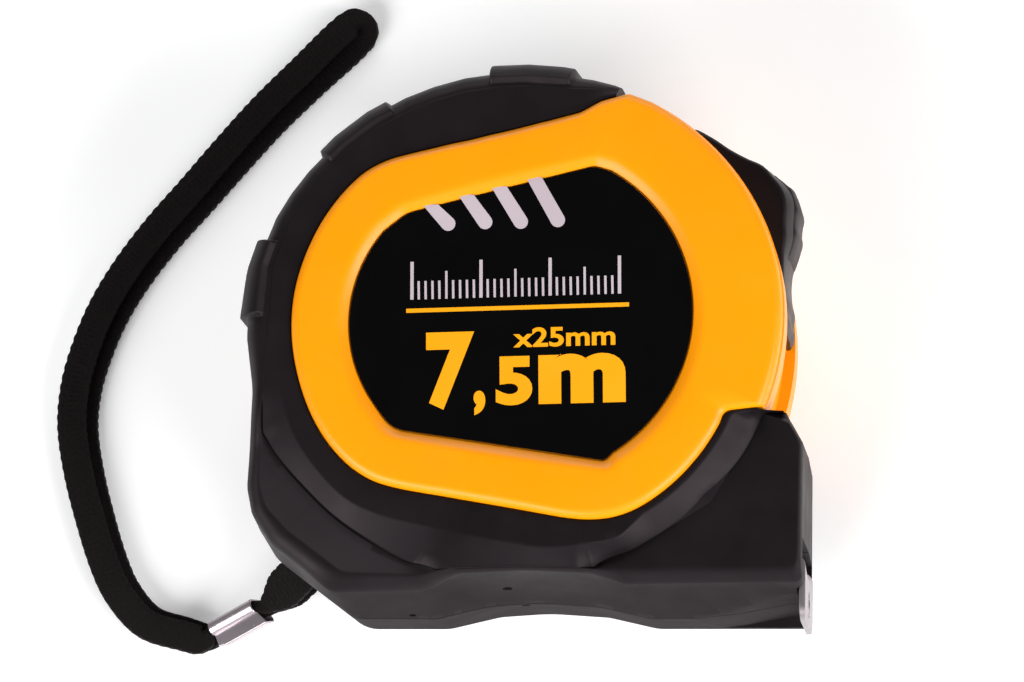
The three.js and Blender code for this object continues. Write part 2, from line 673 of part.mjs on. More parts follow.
// The short loop from the ferrule, around the strap pin and back.
function anchorLoop() {
  const pin = new THREE.Vector3(PIN_X, PIN_Y, PIN_HEIGHT);
  const outward = ferruleNear.clone().sub(pin);
  outward.z = 0;
  outward.normalize();
  const bend = PIN_RADIUS + GAP + STRAP_THICKNESS / 2;
  const round = [90, 45, 0, -45, -90].map((angle) => pin.clone()
    .addScaledVector(outward, -bend * Math.cos(radians(angle)))
    .add(new THREE.Vector3(0, 0, bend * Math.sin(radians(angle)))));
  const leaving = [-GAP, -LEAD].map((along) => beside(ferruleNear, along, STRAP_LAYER / 2));
  const returning = [-LEAD, -GAP].map((along) => beside(ferruleNear, along, -STRAP_LAYER / 2));
  const leadIn = pin.clone().addScaledVector(outward, 3).add(new THREE.Vector3(0, 0, bend - 0.6));
  const leadOut = pin.clone().addScaledVector(outward, 3).add(new THREE.Vector3(0, 0, -bend - 0.1));
  return strapTube([...leaving, leadIn, ...round, leadOut, ...returning], 24);
}

// The crimped ferrule, a closed block with rounded corners along its own axis.
function strapFerrule() {
  const w = FERRULE_WIDTH / 2;
  const t = FERRULE_THICKNESS / 2;
  const c = 1;
  const section = polygon([[-t, -w + c], [-t + c, -w], [t - c, -w], [t, -w + c],
    [t, w - c], [t - c, w], [-t + c, w], [-t, w - c]]);
  const path = new THREE.LineCurve3(ferruleNear, ferruleFar);
  return solid(new THREE.ExtrudeGeometry(section, { steps: 1, extrudePath: path, bevelEnabled: false }));
}

// ---------------------------------------------------------------- assembly

function material(color, roughness, metalness = 0) {
  return new THREE.MeshStandardMaterial({ color, roughness, metalness });
}

const finishes = {
  yellowShell: material(0xffa408, 0.25),
  rubber: material(0x1d1b1e, 0.6),
  labelBlack: material(0x060506, 0.2),
  blackPlastic: material(0x18171a, 0.4),
  steel: material(0xb9b6b8, 0.3, 1),
  springSteel: material(0x55575e, 0.35, 1),
  bladeYellow: material(0xf2c21c, 0.35),
  acetal: material(0xd8d5cb, 0.5),
  chrome: material(0xd9d6d8, 0.12, 1),
  strap: material(0x0e0c0c, 0.9),
};

const tapeMeasure = new THREE.Group();
const caseGroup = new THREE.Group();
caseGroup.position.z = PARTING_HEIGHT;
tapeMeasure.add(caseGroup);

function add(parent, name, body, finish) {
  const mesh = new THREE.Mesh(geometryOf(body), finish);
  mesh.name = name;
  parent.add(mesh);
}

add(caseGroup, 'front_shell', frontShell(), finishes.yellowShell);
add(caseGroup, 'rear_shell', rearShell(), finishes.yellowShell);
add(caseGroup, 'front_grip', frontHalf(gripBody()), finishes.rubber);
add(caseGroup, 'rear_grip', rearGrip(), finishes.rubber);
add(caseGroup, 'front_label', frontLabel(), finishes.labelBlack);
add(caseGroup, 'rear_label', rearLabel(), finishes.labelBlack);
add(caseGroup, 'mouth_bumper', mouthBumper(0), finishes.rubber);
SCREW_PLACES.forEach(([x, y], i) => add(caseGroup, `case_screw_${i + 1}`, caseScrew(x, y), finishes.steel));
add(caseGroup, 'belt_clip', beltClip(), finishes.steel);
add(caseGroup, 'clip_screw', clipScrew(), finishes.steel);
add(caseGroup, 'centre_post', centrePost(), finishes.steel);
add(caseGroup, 'reel', reelDrum(), finishes.acetal);
add(caseGroup, 'reel_cover', reelCover(), finishes.acetal);
add(caseGroup, 'power_spring', powerSpring(), finishes.springSteel);
add(caseGroup, 'blade_coil', bladeCoil(), finishes.bladeYellow);
add(caseGroup, 'blade_lead', bladeLead(), finishes.bladeYellow);
add(caseGroup, 'blade', blade(), finishes.bladeYellow);
add(caseGroup, 'end_hook', endHook(), finishes.chrome);
rivetPlaces().forEach(([x, z], i) => add(caseGroup, `hook_rivet_${i + 1}`, hookRivet(x, z), finishes.steel));
add(caseGroup, 'thumb_lock', thumbLock(), finishes.blackPlastic);
add(caseGroup, 'thumb_pad', thumbPad(), finishes.rubber);
add(caseGroup, 'lock_arm', lockArm(), finishes.acetal);
add(caseGroup, 'brake_pad', brakePad(), finishes.rubber);
add(caseGroup, 'strap_pin', pinBar(PIN_RADIUS, PIN_HALF_LENGTH), finishes.steel);
add(tapeMeasure, 'strap_ferrule', strapFerrule(), finishes.chrome);
add(tapeMeasure, 'strap_anchor_loop', anchorLoop(), finishes.strap);
add(tapeMeasure, 'wrist_strap', wristLoop(), finishes.strap);

export default tapeMeasure;
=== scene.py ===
# Pocket tape measure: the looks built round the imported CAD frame.
# Shapes are written in millimetres about the reel axis, with z = 0 on the parting plane, and are
# placed in the row frame by placed(). X runs towards the mouth and +Z out of the labelled face.

import math

import bmesh
import bpy
from mathutils import Matrix, Vector


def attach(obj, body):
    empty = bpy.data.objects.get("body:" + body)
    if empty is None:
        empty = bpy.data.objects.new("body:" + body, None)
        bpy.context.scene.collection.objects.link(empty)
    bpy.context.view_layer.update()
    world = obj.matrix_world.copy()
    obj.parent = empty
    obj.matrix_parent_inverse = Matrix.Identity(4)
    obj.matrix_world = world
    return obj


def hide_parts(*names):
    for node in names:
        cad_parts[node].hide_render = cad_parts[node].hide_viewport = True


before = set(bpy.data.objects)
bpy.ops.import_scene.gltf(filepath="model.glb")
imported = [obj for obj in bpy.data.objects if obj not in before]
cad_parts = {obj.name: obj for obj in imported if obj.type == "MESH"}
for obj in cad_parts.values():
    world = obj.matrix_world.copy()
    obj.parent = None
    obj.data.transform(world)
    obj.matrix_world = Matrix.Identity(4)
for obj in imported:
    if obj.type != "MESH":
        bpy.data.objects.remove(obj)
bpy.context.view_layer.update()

MM = 0.001
PARTING = 23.0          # height of the parting plane above the clip's flat face
PARTING_GAP = 0.15      # half the line that shows between the two halves
GRIP_TOP = 17.3         # the highest rubber
FACE_TOP = 18.5         # the yellow ring's face
LABEL_TOP = 17.7        # the label's printed face
CAVITY = 30.0           # radius of the room for the reel
REEL_Z = 14.1           # half the height of that room
GAP = 0.3               # clearance between neighbouring pieces
HOOK_FACE = 39.2        # the hook's inner face, from which the blade is measured
BLADE_HALF = 12.5       # half the blade's width


def linked(name, data):
    """A new object in the scene."""
    piece = bpy.data.objects.new(name, data)
    bpy.context.scene.collection.objects.link(piece)
    return piece


# ------------------------------------------------------------------ camera

CAMERA_AT = Vector((0.0881, -0.155, 0.8025))
LOOK_AT = Vector((-0.0040, -0.0006, 0.0230))
IMAGE_UP = Vector((-0.0157, 0.9999, 0.0))
FOCAL_LENGTH, SENSOR_WIDTH = 190.4, 36.0


def make_camera():
    data = bpy.data.cameras.new("camera")
    data.lens = FOCAL_LENGTH
    data.sensor_width = SENSOR_WIDTH
    data.clip_start = 0.01
    data.clip_end = 20.0
    camera = linked("camera", data)
    back = (CAMERA_AT - LOOK_AT).normalized()
    right = IMAGE_UP.cross(back).normalized()
    up = back.cross(right)
    turn = Matrix((right, up, back)).transposed().to_4x4()
    camera.matrix_world = Matrix.Translation(CAMERA_AT) @ turn
    bpy.context.scene.camera = camera


make_camera()

# ------------------------------------------------------------------ materials


class Nodes:
    """A small helper round one material's node tree."""

    def __init__(self, name):
        self.material = bpy.data.materials.new(name)
        self.material.use_nodes = True
        self.tree = self.material.node_tree
        self.shader = self.tree.nodes["Principled BSDF"]
        self.object_coords = self.add("ShaderNodeTexCoord").outputs["Object"]

    def add(self, kind, **settings):
        node = self.tree.nodes.new(kind)
        for key, value in settings.items():
            setattr(node, key, value)
        return node

    def link(self, output, target):
        self.tree.links.new(output, target)

    def axes(self):
        """The X, Y and Z outputs of the object's own coordinates, in metres."""
        node = self.add("ShaderNodeSeparateXYZ")
        self.link(self.object_coords, node.inputs["Vector"])
        return node.outputs

    def math(self, operation, a, b=None):
        node = self.add("ShaderNodeMath", operation=operation)
        for value, target in ((a, node.inputs[0]), (b, node.inputs[1])):
            if isinstance(value, (int, float)):
                target.default_value = value
            elif value is not None:
                self.link(value, target)
        return node.outputs[0]

    def noise(self, scale, detail=3.0, coords=None, stretch=None):
        node = self.add("ShaderNodeTexNoise")
        node.inputs["Scale"].default_value = scale
        node.inputs["Detail"].default_value = detail
        source = coords or self.object_coords
        if stretch:
            mapping = self.add("ShaderNodeMapping")
            mapping.inputs["Scale"].default_value = stretch
            self.link(source, mapping.inputs["Vector"])
            source = mapping.outputs["Vector"]
        self.link(source, node.inputs["Vector"])
        return node.outputs["Fac"]

    def ramp(self, factor, stops):
        node = self.add("ShaderNodeValToRGB")
        while len(node.color_ramp.elements) < len(stops):
            node.color_ramp.elements.new(0.5)
        for element, (place, color) in zip(node.color_ramp.elements, stops):
            element.position = place
            element.color = (*color, 1.0)
        self.link(factor, node.inputs["Fac"])
        return node.outputs["Color"]

    def grey(self, factor, low, high, start=0.3, end=0.7):
        node = self.add("ShaderNodeMapRange")
        node.inputs["From Min"].default_value = start
        node.inputs["From Max"].default_value = end
        node.inputs["To Min"].default_value = low
        node.inputs["To Max"].default_value = high
        self.link(factor, node.inputs["Value"])
        return node.outputs["Result"]

    def bump(self, height, distance, strength=1.0, after=None):
        node = self.add("ShaderNodeBump")
        node.inputs["Distance"].default_value = distance
        node.inputs["Strength"].default_value = strength
        self.link(height, node.inputs["Height"])
        if after:
            self.link(after, node.inputs["Normal"])
        return node.outputs["Normal"]

    def surface(self, color=None, roughness=None, normal=None, **constants):
        if color is not None:
            self.link(color, self.shader.inputs["Base Color"])
        if roughness is not None:
            self.link(roughness, self.shader.inputs["Roughness"])
        if normal is not None:
            self.link(normal, self.shader.inputs["Normal"])
        for key, value in constants.items():
            self.shader.inputs[key.replace("_", " ")].default_value = value
        return self.material


WARM_SHEEN = (1.0, 0.82, 0.88, 1.0)         # tint of the black parts' reflections
BASE_DULLING = (-0.0395, -0.0365)           # Y between which the base's rubber grows duller
# The blade's marks in mm: pitch, length from the edge, half width.
BLADE_MARKS = ((1.0, 3.2, 0.11), (5.0, 4.6, 0.13), (10.0, 7.2, 0.16))


def moulded(name, dark, light, rough, grain, depth, **constants):
    """Moulded plastic or rubber: faint colour drift, uneven gloss and a fine grain."""
    n = Nodes(name)
    drift = n.noise(60, 4)
    fine = n.noise(grain, 2)
    color = n.ramp(drift, [(0.3, dark), (0.7, light)])
    roughness = n.grey(n.noise(180, 3), *rough)
    broad = n.bump(n.noise(90, 2), 0.00002, 0.5)
    return n.surface(color, roughness, n.bump(fine, depth, 0.6, broad), **constants)


def rubber():
    """Black rubber with a fine grain, duller on the flat base it is dragged along on."""
    n = Nodes("black_rubber")
    dark, light = (0.0056, 0.0046, 0.0054), (0.0078, 0.0063, 0.0074)
    color = n.ramp(n.noise(60, 4), [(0.3, dark), (0.7, light)])
    base = n.grey(n.axes()["Y"], 0.34, 0.0, *BASE_DULLING)
    roughness = n.math("ADD", n.grey(n.noise(180, 3), 0.46, 0.56), base)
    broad = n.bump(n.noise(90, 2), 0.00002, 0.5)
    normal = n.bump(n.noise(4200, 2), 0.000015, 0.6, broad)
    return n.surface(color, roughness, normal, Specular_IOR_Level=0.2, Specular_Tint=WARM_SHEEN)


def metal(name, dark, light, rough, stretch, metallic=1.0):
    """Rolled or plated metal with streaks along one axis."""
    n = Nodes(name)
    streak = n.noise(1500, 3, stretch=stretch)
    color = n.ramp(n.noise(150, 4), [(0.25, dark), (0.75, light)])
    roughness = n.grey(streak, *rough)
    return n.surface(color, roughness, n.bump(streak, 0.000004, 0.5), Metallic=metallic)


def blade_paint():
    """Glossy yellow tape with black marks for millimetres and centimetres along both edges."""
    n = Nodes("painted_blade_graduated")
    axes = n.axes()
    travel = n.math("MULTIPLY", n.math("SUBTRACT", HOOK_FACE * MM, axes["X"]), 1000.0)
    across = n.math("MULTIPLY", n.math("SUBTRACT", axes["Z"], PARTING * MM), 1000.0)
    from_edge = n.math("SUBTRACT", BLADE_HALF, n.math("ABSOLUTE", across))
    marks = None
    for pitch, reach, half in BLADE_MARKS:
        within = n.math("FLOORED_MODULO", n.math("ADD", travel, pitch / 2), pitch)
        offset = n.math("ABSOLUTE", n.math("SUBTRACT", within, pitch / 2))
        line = n.math("MULTIPLY", n.math("LESS_THAN", offset, half),
                      n.math("LESS_THAN", from_edge, reach))
        marks = line if marks is None else n.math("MAXIMUM", marks, line)
    color = n.ramp(marks, [(0.4, (0.86, 0.56, 0.02)), (0.6, (0.012, 0.011, 0.011))])
    wear = n.noise(900, 3, stretch=(0.1, 1, 1))
    return n.surface(color, n.grey(wear, 0.28, 0.42), n.bump(wear, 0.000003, 0.4), Coat_Weight=0.15)


def braid_material():
    """Braided yarn in streaks and fuzz, drawn along the strap's own length and width, with painted
    sheen on its lightest streaks.
    """
    n = Nodes("braided_polyester")
    uv = n.add("ShaderNodeUVMap").outputs["UV"]
    strands = n.noise(1.0, 2, coords=uv, stretch=(260.0, 900.0, 1.0))
    fuzz = n.noise(2500, 3)
    # The two dark stops are the yarn's own black; the lightest stop is painted sheen, specks of
    # highlight on the streaks.
    color = n.ramp(strands, [(0.3, (0.0016, 0.0013, 0.0013)), (0.6, (0.005, 0.0042, 0.0042)),
                             (0.82, (0.026, 0.022, 0.0215))])
    roughness = n.grey(fuzz, 0.5, 0.75)
    normal = n.bump(fuzz, 0.00006, 0.5, n.bump(strands, 0.00022, 0.8))
    return n.surface(color, roughness, normal,
                     Specular_IOR_Level=0.15, Specular_Tint=(1.0, 0.85, 0.85, 1.0))


YELLOW = moulded("glossy_amber_abs", (0.97, 0.315, 0.0006), (1.0, 0.335, 0.001), (0.34, 0.42),
                 2600, 0.000003, Specular_IOR_Level=0.3, Coat_Weight=0.06, Coat_Roughness=0.25)
RUBBER = rubber()
LOCK = moulded("black_moulded_abs", (0.0035, 0.0026, 0.0028), (0.005, 0.004, 0.0042), (0.38, 0.46),
               3500, 0.000008, Specular_IOR_Level=0.3, Specular_Tint=WARM_SHEEN)
LOCK_PAD = moulded("lock_rubber", (0.006, 0.0048, 0.0056), (0.009, 0.0075, 0.0085), (0.46, 0.56),
                   4200, 0.000015, Specular_IOR_Level=0.35, Specular_Tint=WARM_SHEEN)
LABEL = moulded("printed_black_label", (0.0012, 0.001, 0.0012), (0.0016, 0.0014, 0.0016),
                (0.2, 0.24), 5200, 0.000001)
PRINT_AMBER = moulded("amber_ink", (0.93, 0.36, 0.002), (0.98, 0.4, 0.004), (0.35, 0.45),
                      5200, 0.000003)
PRINT_GREY = moulded("grey_ink", (0.5, 0.42, 0.46), (0.56, 0.48, 0.52), (0.35, 0.45),
                     5200, 0.000003)
PRINT_BLACK = moulded("black_ink", (0.01, 0.009, 0.009), (0.014, 0.013, 0.013), (0.35, 0.45),
                      5200, 0.000003)
ACETAL = moulded("natural_acetal", (0.66, 0.63, 0.56), (0.74, 0.72, 0.66), (0.4, 0.5),
                 3000, 0.000008)
STEEL = metal("zinc_plated_steel", (0.42, 0.41, 0.4), (0.6, 0.59, 0.58), (0.22, 0.38), (1, 1, 1))
CLIP_STEEL = metal("nickel_spring_steel", (0.55, 0.54, 0.53), (0.68, 0.67, 0.66), (0.18, 0.3),
                   (1, 0.06, 1))
BRASS = metal("brass_rivet", (0.62, 0.45, 0.2), (0.75, 0.57, 0.3), (0.2, 0.32), (1, 1, 1))
HOOK_STEEL = metal("bright_nickel", (0.34, 0.3, 0.32), (0.44, 0.4, 0.42), (0.38, 0.5),
                   (1, 0.1, 1), metallic=0.9)
FERRULE = metal("bright_crimp", (0.42, 0.37, 0.395), (0.52, 0.46, 0.49), (0.2, 0.28),
                (0.15, 1, 1), metallic=0.65)
SPRING_STEEL = metal("blued_spring_steel", (0.18, 0.2, 0.24), (0.3, 0.32, 0.37), (0.25, 0.4),
                     (0.1, 0.1, 1))
BRAID = braid_material()
BLADE_PAINT = blade_paint()

# ------------------------------------------------------------------ mesh helpers


def placed(point):
    """A point of this file in the row frame, in metres."""
    x, y, z = point
    return (x * MM, y * MM, (z + PARTING) * MM)


def mesh_object(name, points, faces, material, smooth_angle=40):
    mesh = bpy.data.meshes.new(name)
    mesh.from_pydata([placed(p) for p in points], [], faces)
    piece = linked(name, mesh)
    work = bmesh.new()
    work.from_mesh(mesh)
    bmesh.ops.recalc_face_normals(work, faces=work.faces)
    work.to_mesh(mesh)
    work.free()
    mesh.materials.append(material)
    shade(piece, smooth_angle)
    return piece


def shade(piece, smooth_angle=40):
    """Smooth shading, broken where faces meet at more than the angle."""
    for face in piece.data.polygons:
        face.use_smooth = True
    piece.data.set_sharp_from_angle(angle=math.radians(smooth_angle))


def combine(piece, tools, operation="DIFFERENCE"):
    """Cuts the tools from a piece, or joins them to it, and removes the tools."""
    for tool in tools:
        modifier = piece.modifiers.new("combine", "BOOLEAN")
        modifier.operation = operation
        modifier.solver = "MANIFOLD"
        modifier.object = tool
        bpy.context.view_layer.objects.active = piece
        bpy.context.view_layer.update()
        bpy.ops.object.modifier_apply(modifier=modifier.name)
        bpy.data.objects.remove(tool)


def soften(piece, width, angle):
    """Rounds the edges sharper than the angle."""
    modifier = piece.modifiers.new("soften", "BEVEL")
    modifier.width = width * MM
    modifier.segments = 2
    modifier.limit_method = "ANGLE"
    modifier.angle_limit = math.radians(angle)
    modifier.harden_normals = True


def even_normals(piece):
    """Lets large faces set the shading, so that narrow ones beside them don't streak."""
    modifier = piece.modifiers.new("even_normals", "WEIGHTED_NORMAL")
    modifier.keep_sharp = True
    modifier.weight = 80


def revolve(name, centre, profile, material, axis, sides):
    """A closed turned shape from (radius, height) points, about an axis along z or along y."""
    columns = []
    for i in range(sides):
        turn = 2 * math.pi * i / sides
        c, s = math.cos(turn), math.sin(turn)
        column = []
        for r, h in profile:
            offset = (r * c, r * s, h) if axis == "z" else (r * c, h, r * s)
            column.append(tuple(a + b for a, b in zip(centre, offset)))
        columns.append(column)
    return loft(name, columns, material, True, 35)


def finish_piece(piece, body, slot, *nodes):
    """Puts a piece on its body and in place of its CAD nodes. The slot is not used."""
    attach(piece, body)
    if nodes:
        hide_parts(*nodes)
    return piece


def grid_faces(columns, rows, closed):
    """Faces between neighbouring columns of closed profiles, capped at both ends if left open."""
    faces = []
    for i in range(columns if closed else columns - 1):
        for j in range(rows):
            a, b = i * rows, ((i + 1) % columns) * rows
            k = (j + 1) % rows
            faces.append((a + j, b + j, b + k, a + k))
    if not closed:
        faces.append(tuple(range(rows)))
        faces.append(tuple((columns - 1) * rows + j for j in range(rows)))
    return faces


def loft(name, columns, material, closed, smooth_angle=40):
    """Joins closed profiles, each a column of (x, y, z) points."""
    points = [p for column in columns for p in column]
    faces = grid_faces(len(columns), len(columns[0]), closed)
    return mesh_object(name, points, faces, material, smooth_angle)


def prism(name, outline, z0, z1, material, smooth_angle=40):
    columns = [[(x, y, z) for x, y in outline] for z in (z0, z1)]
    return loft(name, columns, material, False, smooth_angle)


def block(x0, x1, y0, y1, z0, z1, material):
    """A tool with straight sides."""
    return prism("tool", [(x0, y0), (x1, y0), (x1, y1), (x0, y1)], z0, z1, material)


def rod(centre, radius, z0, z1, material, sides=32):
    """A round tool along z."""
    outline = [polar(radius, 360 * i / sides, centre) for i in range(sides)]
    return prism("tool", outline, z0, z1, material)


# ------------------------------------------------------------------ outlines


def polar(radius, degrees, centre=(0, 0)):
    """The point at an angle and radius about a centre."""
    a = math.radians(degrees)
    return (centre[0] + radius * math.cos(a), centre[1] + radius * math.sin(a))


def arc(centre, radius, start, end, step=2.0):
    last = max(2, int(abs(end - start) / step) + 1) - 1
    return [polar(radius, start + (end - start) * i / last, centre) for i in range(last + 1)]


def fillet(before, corner, after, radius):
    """Points that round one corner of a path."""
    c = Vector(corner)
    u = Vector(before) - c
    v = Vector(after) - c
    reach = min(u.length, v.length) * 0.48
    u.normalize()
    v.normalize()
    half = 0.5 * math.acos(max(-1.0, min(1.0, u.dot(v))))
    back = min(reach, radius / max(math.tan(half), 1e-6))
    a, b = c + u * back, c + v * back
    return [tuple((1 - t) ** 2 * a + 2 * t * (1 - t) * c + t ** 2 * b)
            for t in (i / 7 for i in range(8))]


def path(points, closed=False):
    """A path through (x, y) or (x, y, radius) points: a third number rounds that corner."""
    out = []
    count = len(points)
    for i, p in enumerate(points):
        rounded = len(p) == 3 and p[2] > 0 and (closed or 0 < i < count - 1)
        if rounded:
            out += fillet(points[i - 1][:2], p[:2], points[(i + 1) % count][:2], p[2])
        else:
            out.append(p[:2])
    return out


def bearing(x, y):
    """The angle of a point about the reel axis, from 0 to 360 degrees."""
    return math.degrees(math.atan2(y, x)) % 360


class Contour:
    """A path seen from the reel axis: its largest radius at any angle in degrees."""

    def __init__(self, points):
        self.points = points

    def radius(self, degrees):
        a = math.radians(degrees)
        dx, dy = math.cos(a), math.sin(a)
        best = None
        for (x0, y0), (x1, y1) in zip(self.points, self.points[1:]):
            ex, ey = x1 - x0, y1 - y0
            cross = dx * ey - dy * ex
            if abs(cross) < 1e-12:
                continue
            r = (x0 * ey - y0 * ex) / cross
            s = (x0 * dy - y0 * dx) / cross
            if r > 0 and -1e-6 <= s <= 1 + 1e-6 and (best is None or r > best):
                best = r
        if best is None:
            ends = (self.points[0], self.points[-1])
            best = math.hypot(*min(ends, key=lambda p: abs(bearing(*p) - degrees % 360)))
        return best

    def angles(self):
        return [bearing(x, y) for x, y in self.points]


def table(stops, degrees):
    """Reads a list of (degrees, value) stops, eased between them."""
    if degrees <= stops[0][0]:
        return stops[0][1]
    for (a0, v0), (a1, v1) in zip(stops, stops[1:]):
        if degrees <= a1:
            t = (degrees - a0) / (a1 - a0)
            return v0 + (v1 - v0) * t * t * (3 - 2 * t)
    return stops[-1][1]


def eased(stops, degrees, column):
    """A smooth curve through the stops: the chosen column's value at an angle."""
    last = len(stops) - 1
    i = 0
    while i < last - 1 and degrees > stops[i + 1][0]:
        i += 1
    a, b = stops[i], stops[i + 1]
    before, after = stops[max(0, i - 1)], stops[min(last, i + 2)]
    span = b[0] - a[0]
    m0 = (b[column] - before[column]) / max(1e-6, b[0] - before[0]) * span
    m1 = (after[column] - a[column]) / max(1e-6, after[0] - a[0]) * span
    t = min(1.0, max(0.0, (degrees - a[0]) / span))
    return ((2 * t ** 3 - 3 * t ** 2 + 1) * a[column] + (t ** 3 - 2 * t ** 2 + t) * m0
            + (3 * t ** 2 - 2 * t ** 3) * b[column] + (t ** 3 - t ** 2) * m1)


def spread(angles, start, end, step):
    """Sorted column angles: the given ones and enough between them."""
    wanted = sorted({round(a, 3) for a in angles if start < a < end} | {start, end})
    out = [wanted[0]]
    for a in wanted[1:]:
        gap = a - out[-1]
        if gap < 0.05:
            continue
        parts = max(1, math.ceil(gap / step))
        first = out[-1]
        out += [first + gap * (i + 1) / parts for i in range(parts)]
    out[-1] = end
    return out


BACK = (-5.2, 2.8)                      # centre of the round back
RIM_START, RIM_END = 68.5, 339.3        # angles between which rubber covers the side

# The case's largest outline, at the parting plane.
OUTER = path(
    [(13.9, 34.5), (12.4, 35.4, 1.5), (10.5, 36.3, 3.0), (3.0, 37.5)]
    + arc(BACK, 35.4, 84, 172)
    + [(-41.4, -1.5, 9), (-41.1, -10.5, 14), (-42.1, -24.5, 6), (-41.2, -28.4, 4),
       (-38.2, -33.2, 5), (-26.6, -42, 5), (-14.2, -42, 7), (-6.6, -40.2, 9), (0.7, -39.7, 30),
       (9.6, -40.3, 9), (16.9, -42, 7), (40, -42, 0.9), (40, -18.4, 1.2), (37.7, -14.2)]
)
# The round back where its wall meets the rounding, about BACK: degrees and radius.
UPPER_WALL = [
    (66, 35.7), (74, 34.9), (82, 34.3), (90, 33.85), (98, 33.55), (106, 33.3), (114, 33.2),
    (124, 33.25), (134, 33.4), (145, 33.75), (152, 34.15), (159, 34.6), (165, 34.8), (172, 35.3),
    (179, 35.85), (188, 36.6),
]
WALL_TOP = [(13.4, 34.0), (12.4, 34.5, 1.2)] + [polar(r, a, BACK) for a, r in UPPER_WALL]
PLATE_TOP = [(13.0, 33.2), (11.6, 33.3, 1.5)]
PLATE_TOP += [polar(r - 2.9, a, BACK) for a, r in UPPER_WALL[1:-2]]
# The top of the front half's leaning side wall.
FRONT_WALL = path(
    WALL_TOP
    + [(-40.3, -10.5, 14), (-41.1, -24.5, 6), (-40.3, -28.4, 4), (-37.4, -32.7, 5),
       (-28.4, -39.9, 4), (-14.6, -39.8, 6), (-9.6, -37.7, 7), (0, -37.3, 30), (9.8, -37.7, 6),
       (14.6, -39.1, 3), (39.95, -38.8, 1.2), (40.0, -18.6, 1.2), (37.6, -14.3)]
)
FRONT_PLATE = path(
    PLATE_TOP
    + [(-37.8, -1.5, 9), (-38.4, -10.5, 14), (-38.9, -24.5, 6), (-38.0, -27.6, 4),
       (-34.8, -31.0, 5), (-26.6, -37.2, 4), (-15.0, -37.8, 5), (-10.0, -37.0, 7), (0, -36.8, 30),
       (10.2, -37.0, 4), (14.9, -36.9, 2), (39.1, -36.6, 1.6), (39.4, -19.0, 1.6), (37.0, -14.6)]
)
REAR_WALL = path(
    WALL_TOP
    + [(-40.7, -10.5, 14), (-41.7, -24.5, 6), (-40.9, -28.4, 4), (-38.0, -33.0, 5),
       (-26.6, -41.6, 5), (-14.2, -41.6, 7), (-6.6, -39.8, 9), (0.7, -39.3, 30), (9.6, -39.9, 9),
       (16.9, -41.6, 7), (39.7, -41.6, 0.9), (39.7, -18.6, 1.2), (37.5, -14.3)]
)
REAR_PLATE = path(
    PLATE_TOP
    + [(-37.8, -1.5, 9), (-38.9, -10.5, 14), (-39.6, -24.5, 6), (-38.7, -27.6, 4),
       (-36.0, -31.2, 5), (-25.8, -39.6, 5), (-14.4, -39.8, 7), (-6.6, -38.2, 9), (0.7, -37.8, 30),
       (9.6, -38.3, 9), (17.2, -39.8, 7), (38.0, -39.9, 1.6), (38.6, -19.2, 1.6), (36.6, -14.6)]
)
# Where the band round the ring meets the cheeks: degrees and radius about the reel axis.
CREASE = [
    (66, 60), (198, 44), (203, 42.2), (209, 41.6), (218, 40.7), (226, 40.3), (236, 39.8),
    (244, 39.7), (252, 39.5), (258, 44), (281, 44), (285, 38.3), (296, 37.5), (307, 37.3),
    (316, 37.1), (326, 37.4), (336, 37.2), (340, 37.2),
]
# The yellow ring's outer edge where rubber meets it: a radius every 6 degrees from 84.
RING_RADII = [
    28.81, 27.92, 27.37, 27.2, 27.25, 27.74, 28.45, 29.55, 30.9, 31.95, 32.5, 32.9, 33.25, 33.55,
    33.85, 34.12, 34.28, 34.36, 34.37, 34.37, 34.38, 34.3, 34.08, 33.64, 32.8, 31.45, 30.15, 29.17,
    28.6, 28.33, 28.38, 28.76, 29.5, 30.56, 31.69, 32.55, 32.93, 32.97, 32.92, 32.82, 32.7, 32.55,
]
RING_SIDE = list(zip(range(84, 331, 6), RING_RADII))
RING_EDGE = path(
    arc((0, 0), 37.05, -21.6, 8)
    + arc((0.7, -0.9), 36.5, 12, 62)
    + [(14.6, 32.6, 1.4), (10.6, 31.5, 3), (7.6, 29.85, 4)]
    + [polar(eased(RING_SIDE, a, 1), a) for a in range(84, 331, 2)]
    + [(28.9, -14.4, 1.5), (34.4, -13.8)]
)
LABEL_EDGE = path(
    arc((0, 0), 24.1, -57, 60)
    + [(9.7, 21.6, 2.4), (-17.5, 14.9, 4.5)]
    + arc((-4.7, -1.1), 20.95, 140, 212)
    + [(-19.3, -16.8, 5.0), (11.7, -21.6, 1.8), polar(24.1, -57.4)]
)
SHOULDER = path(
    arc((0, 0), 37.2, -21, 66) + arc(BACK, 32.9, 84, 178)
    + [(-39.2, -24.5), (-36.8, -31.6), (-27.6, -38.5), (37.4, -38.5), (37.4, -19.2)]
    + arc((0, 0), 37.2, -24.5, -21)
)
outer, ring_edge, hidden_side = Contour(OUTER), Contour(RING_EDGE), Contour(SHOULDER)
label_edge = Contour(LABEL_EDGE + LABEL_EDGE[:1])

# Thumb pads on the side: middle and half width in degrees about BACK, height, radius.
PADS = [(81.0, 10.6, 1.25, 34.4), (128.9, 10.9, 0.95, 33.3), (174.8, 9.8, 1.35, 35.4)]
PAD_TOP = 76        # the lean at which a pad runs out, in degrees from the side wall

WALL_Z, CREASE_Z, PLATE_Z = 13.0, 17.0, 16.9    # heights where the rubber's surfaces meet
CHEEK_SLOPE = 0.33                      # fall of the back cheek over its run
ROUND_STEPS = 18                        # rows of the rounding between wall and face

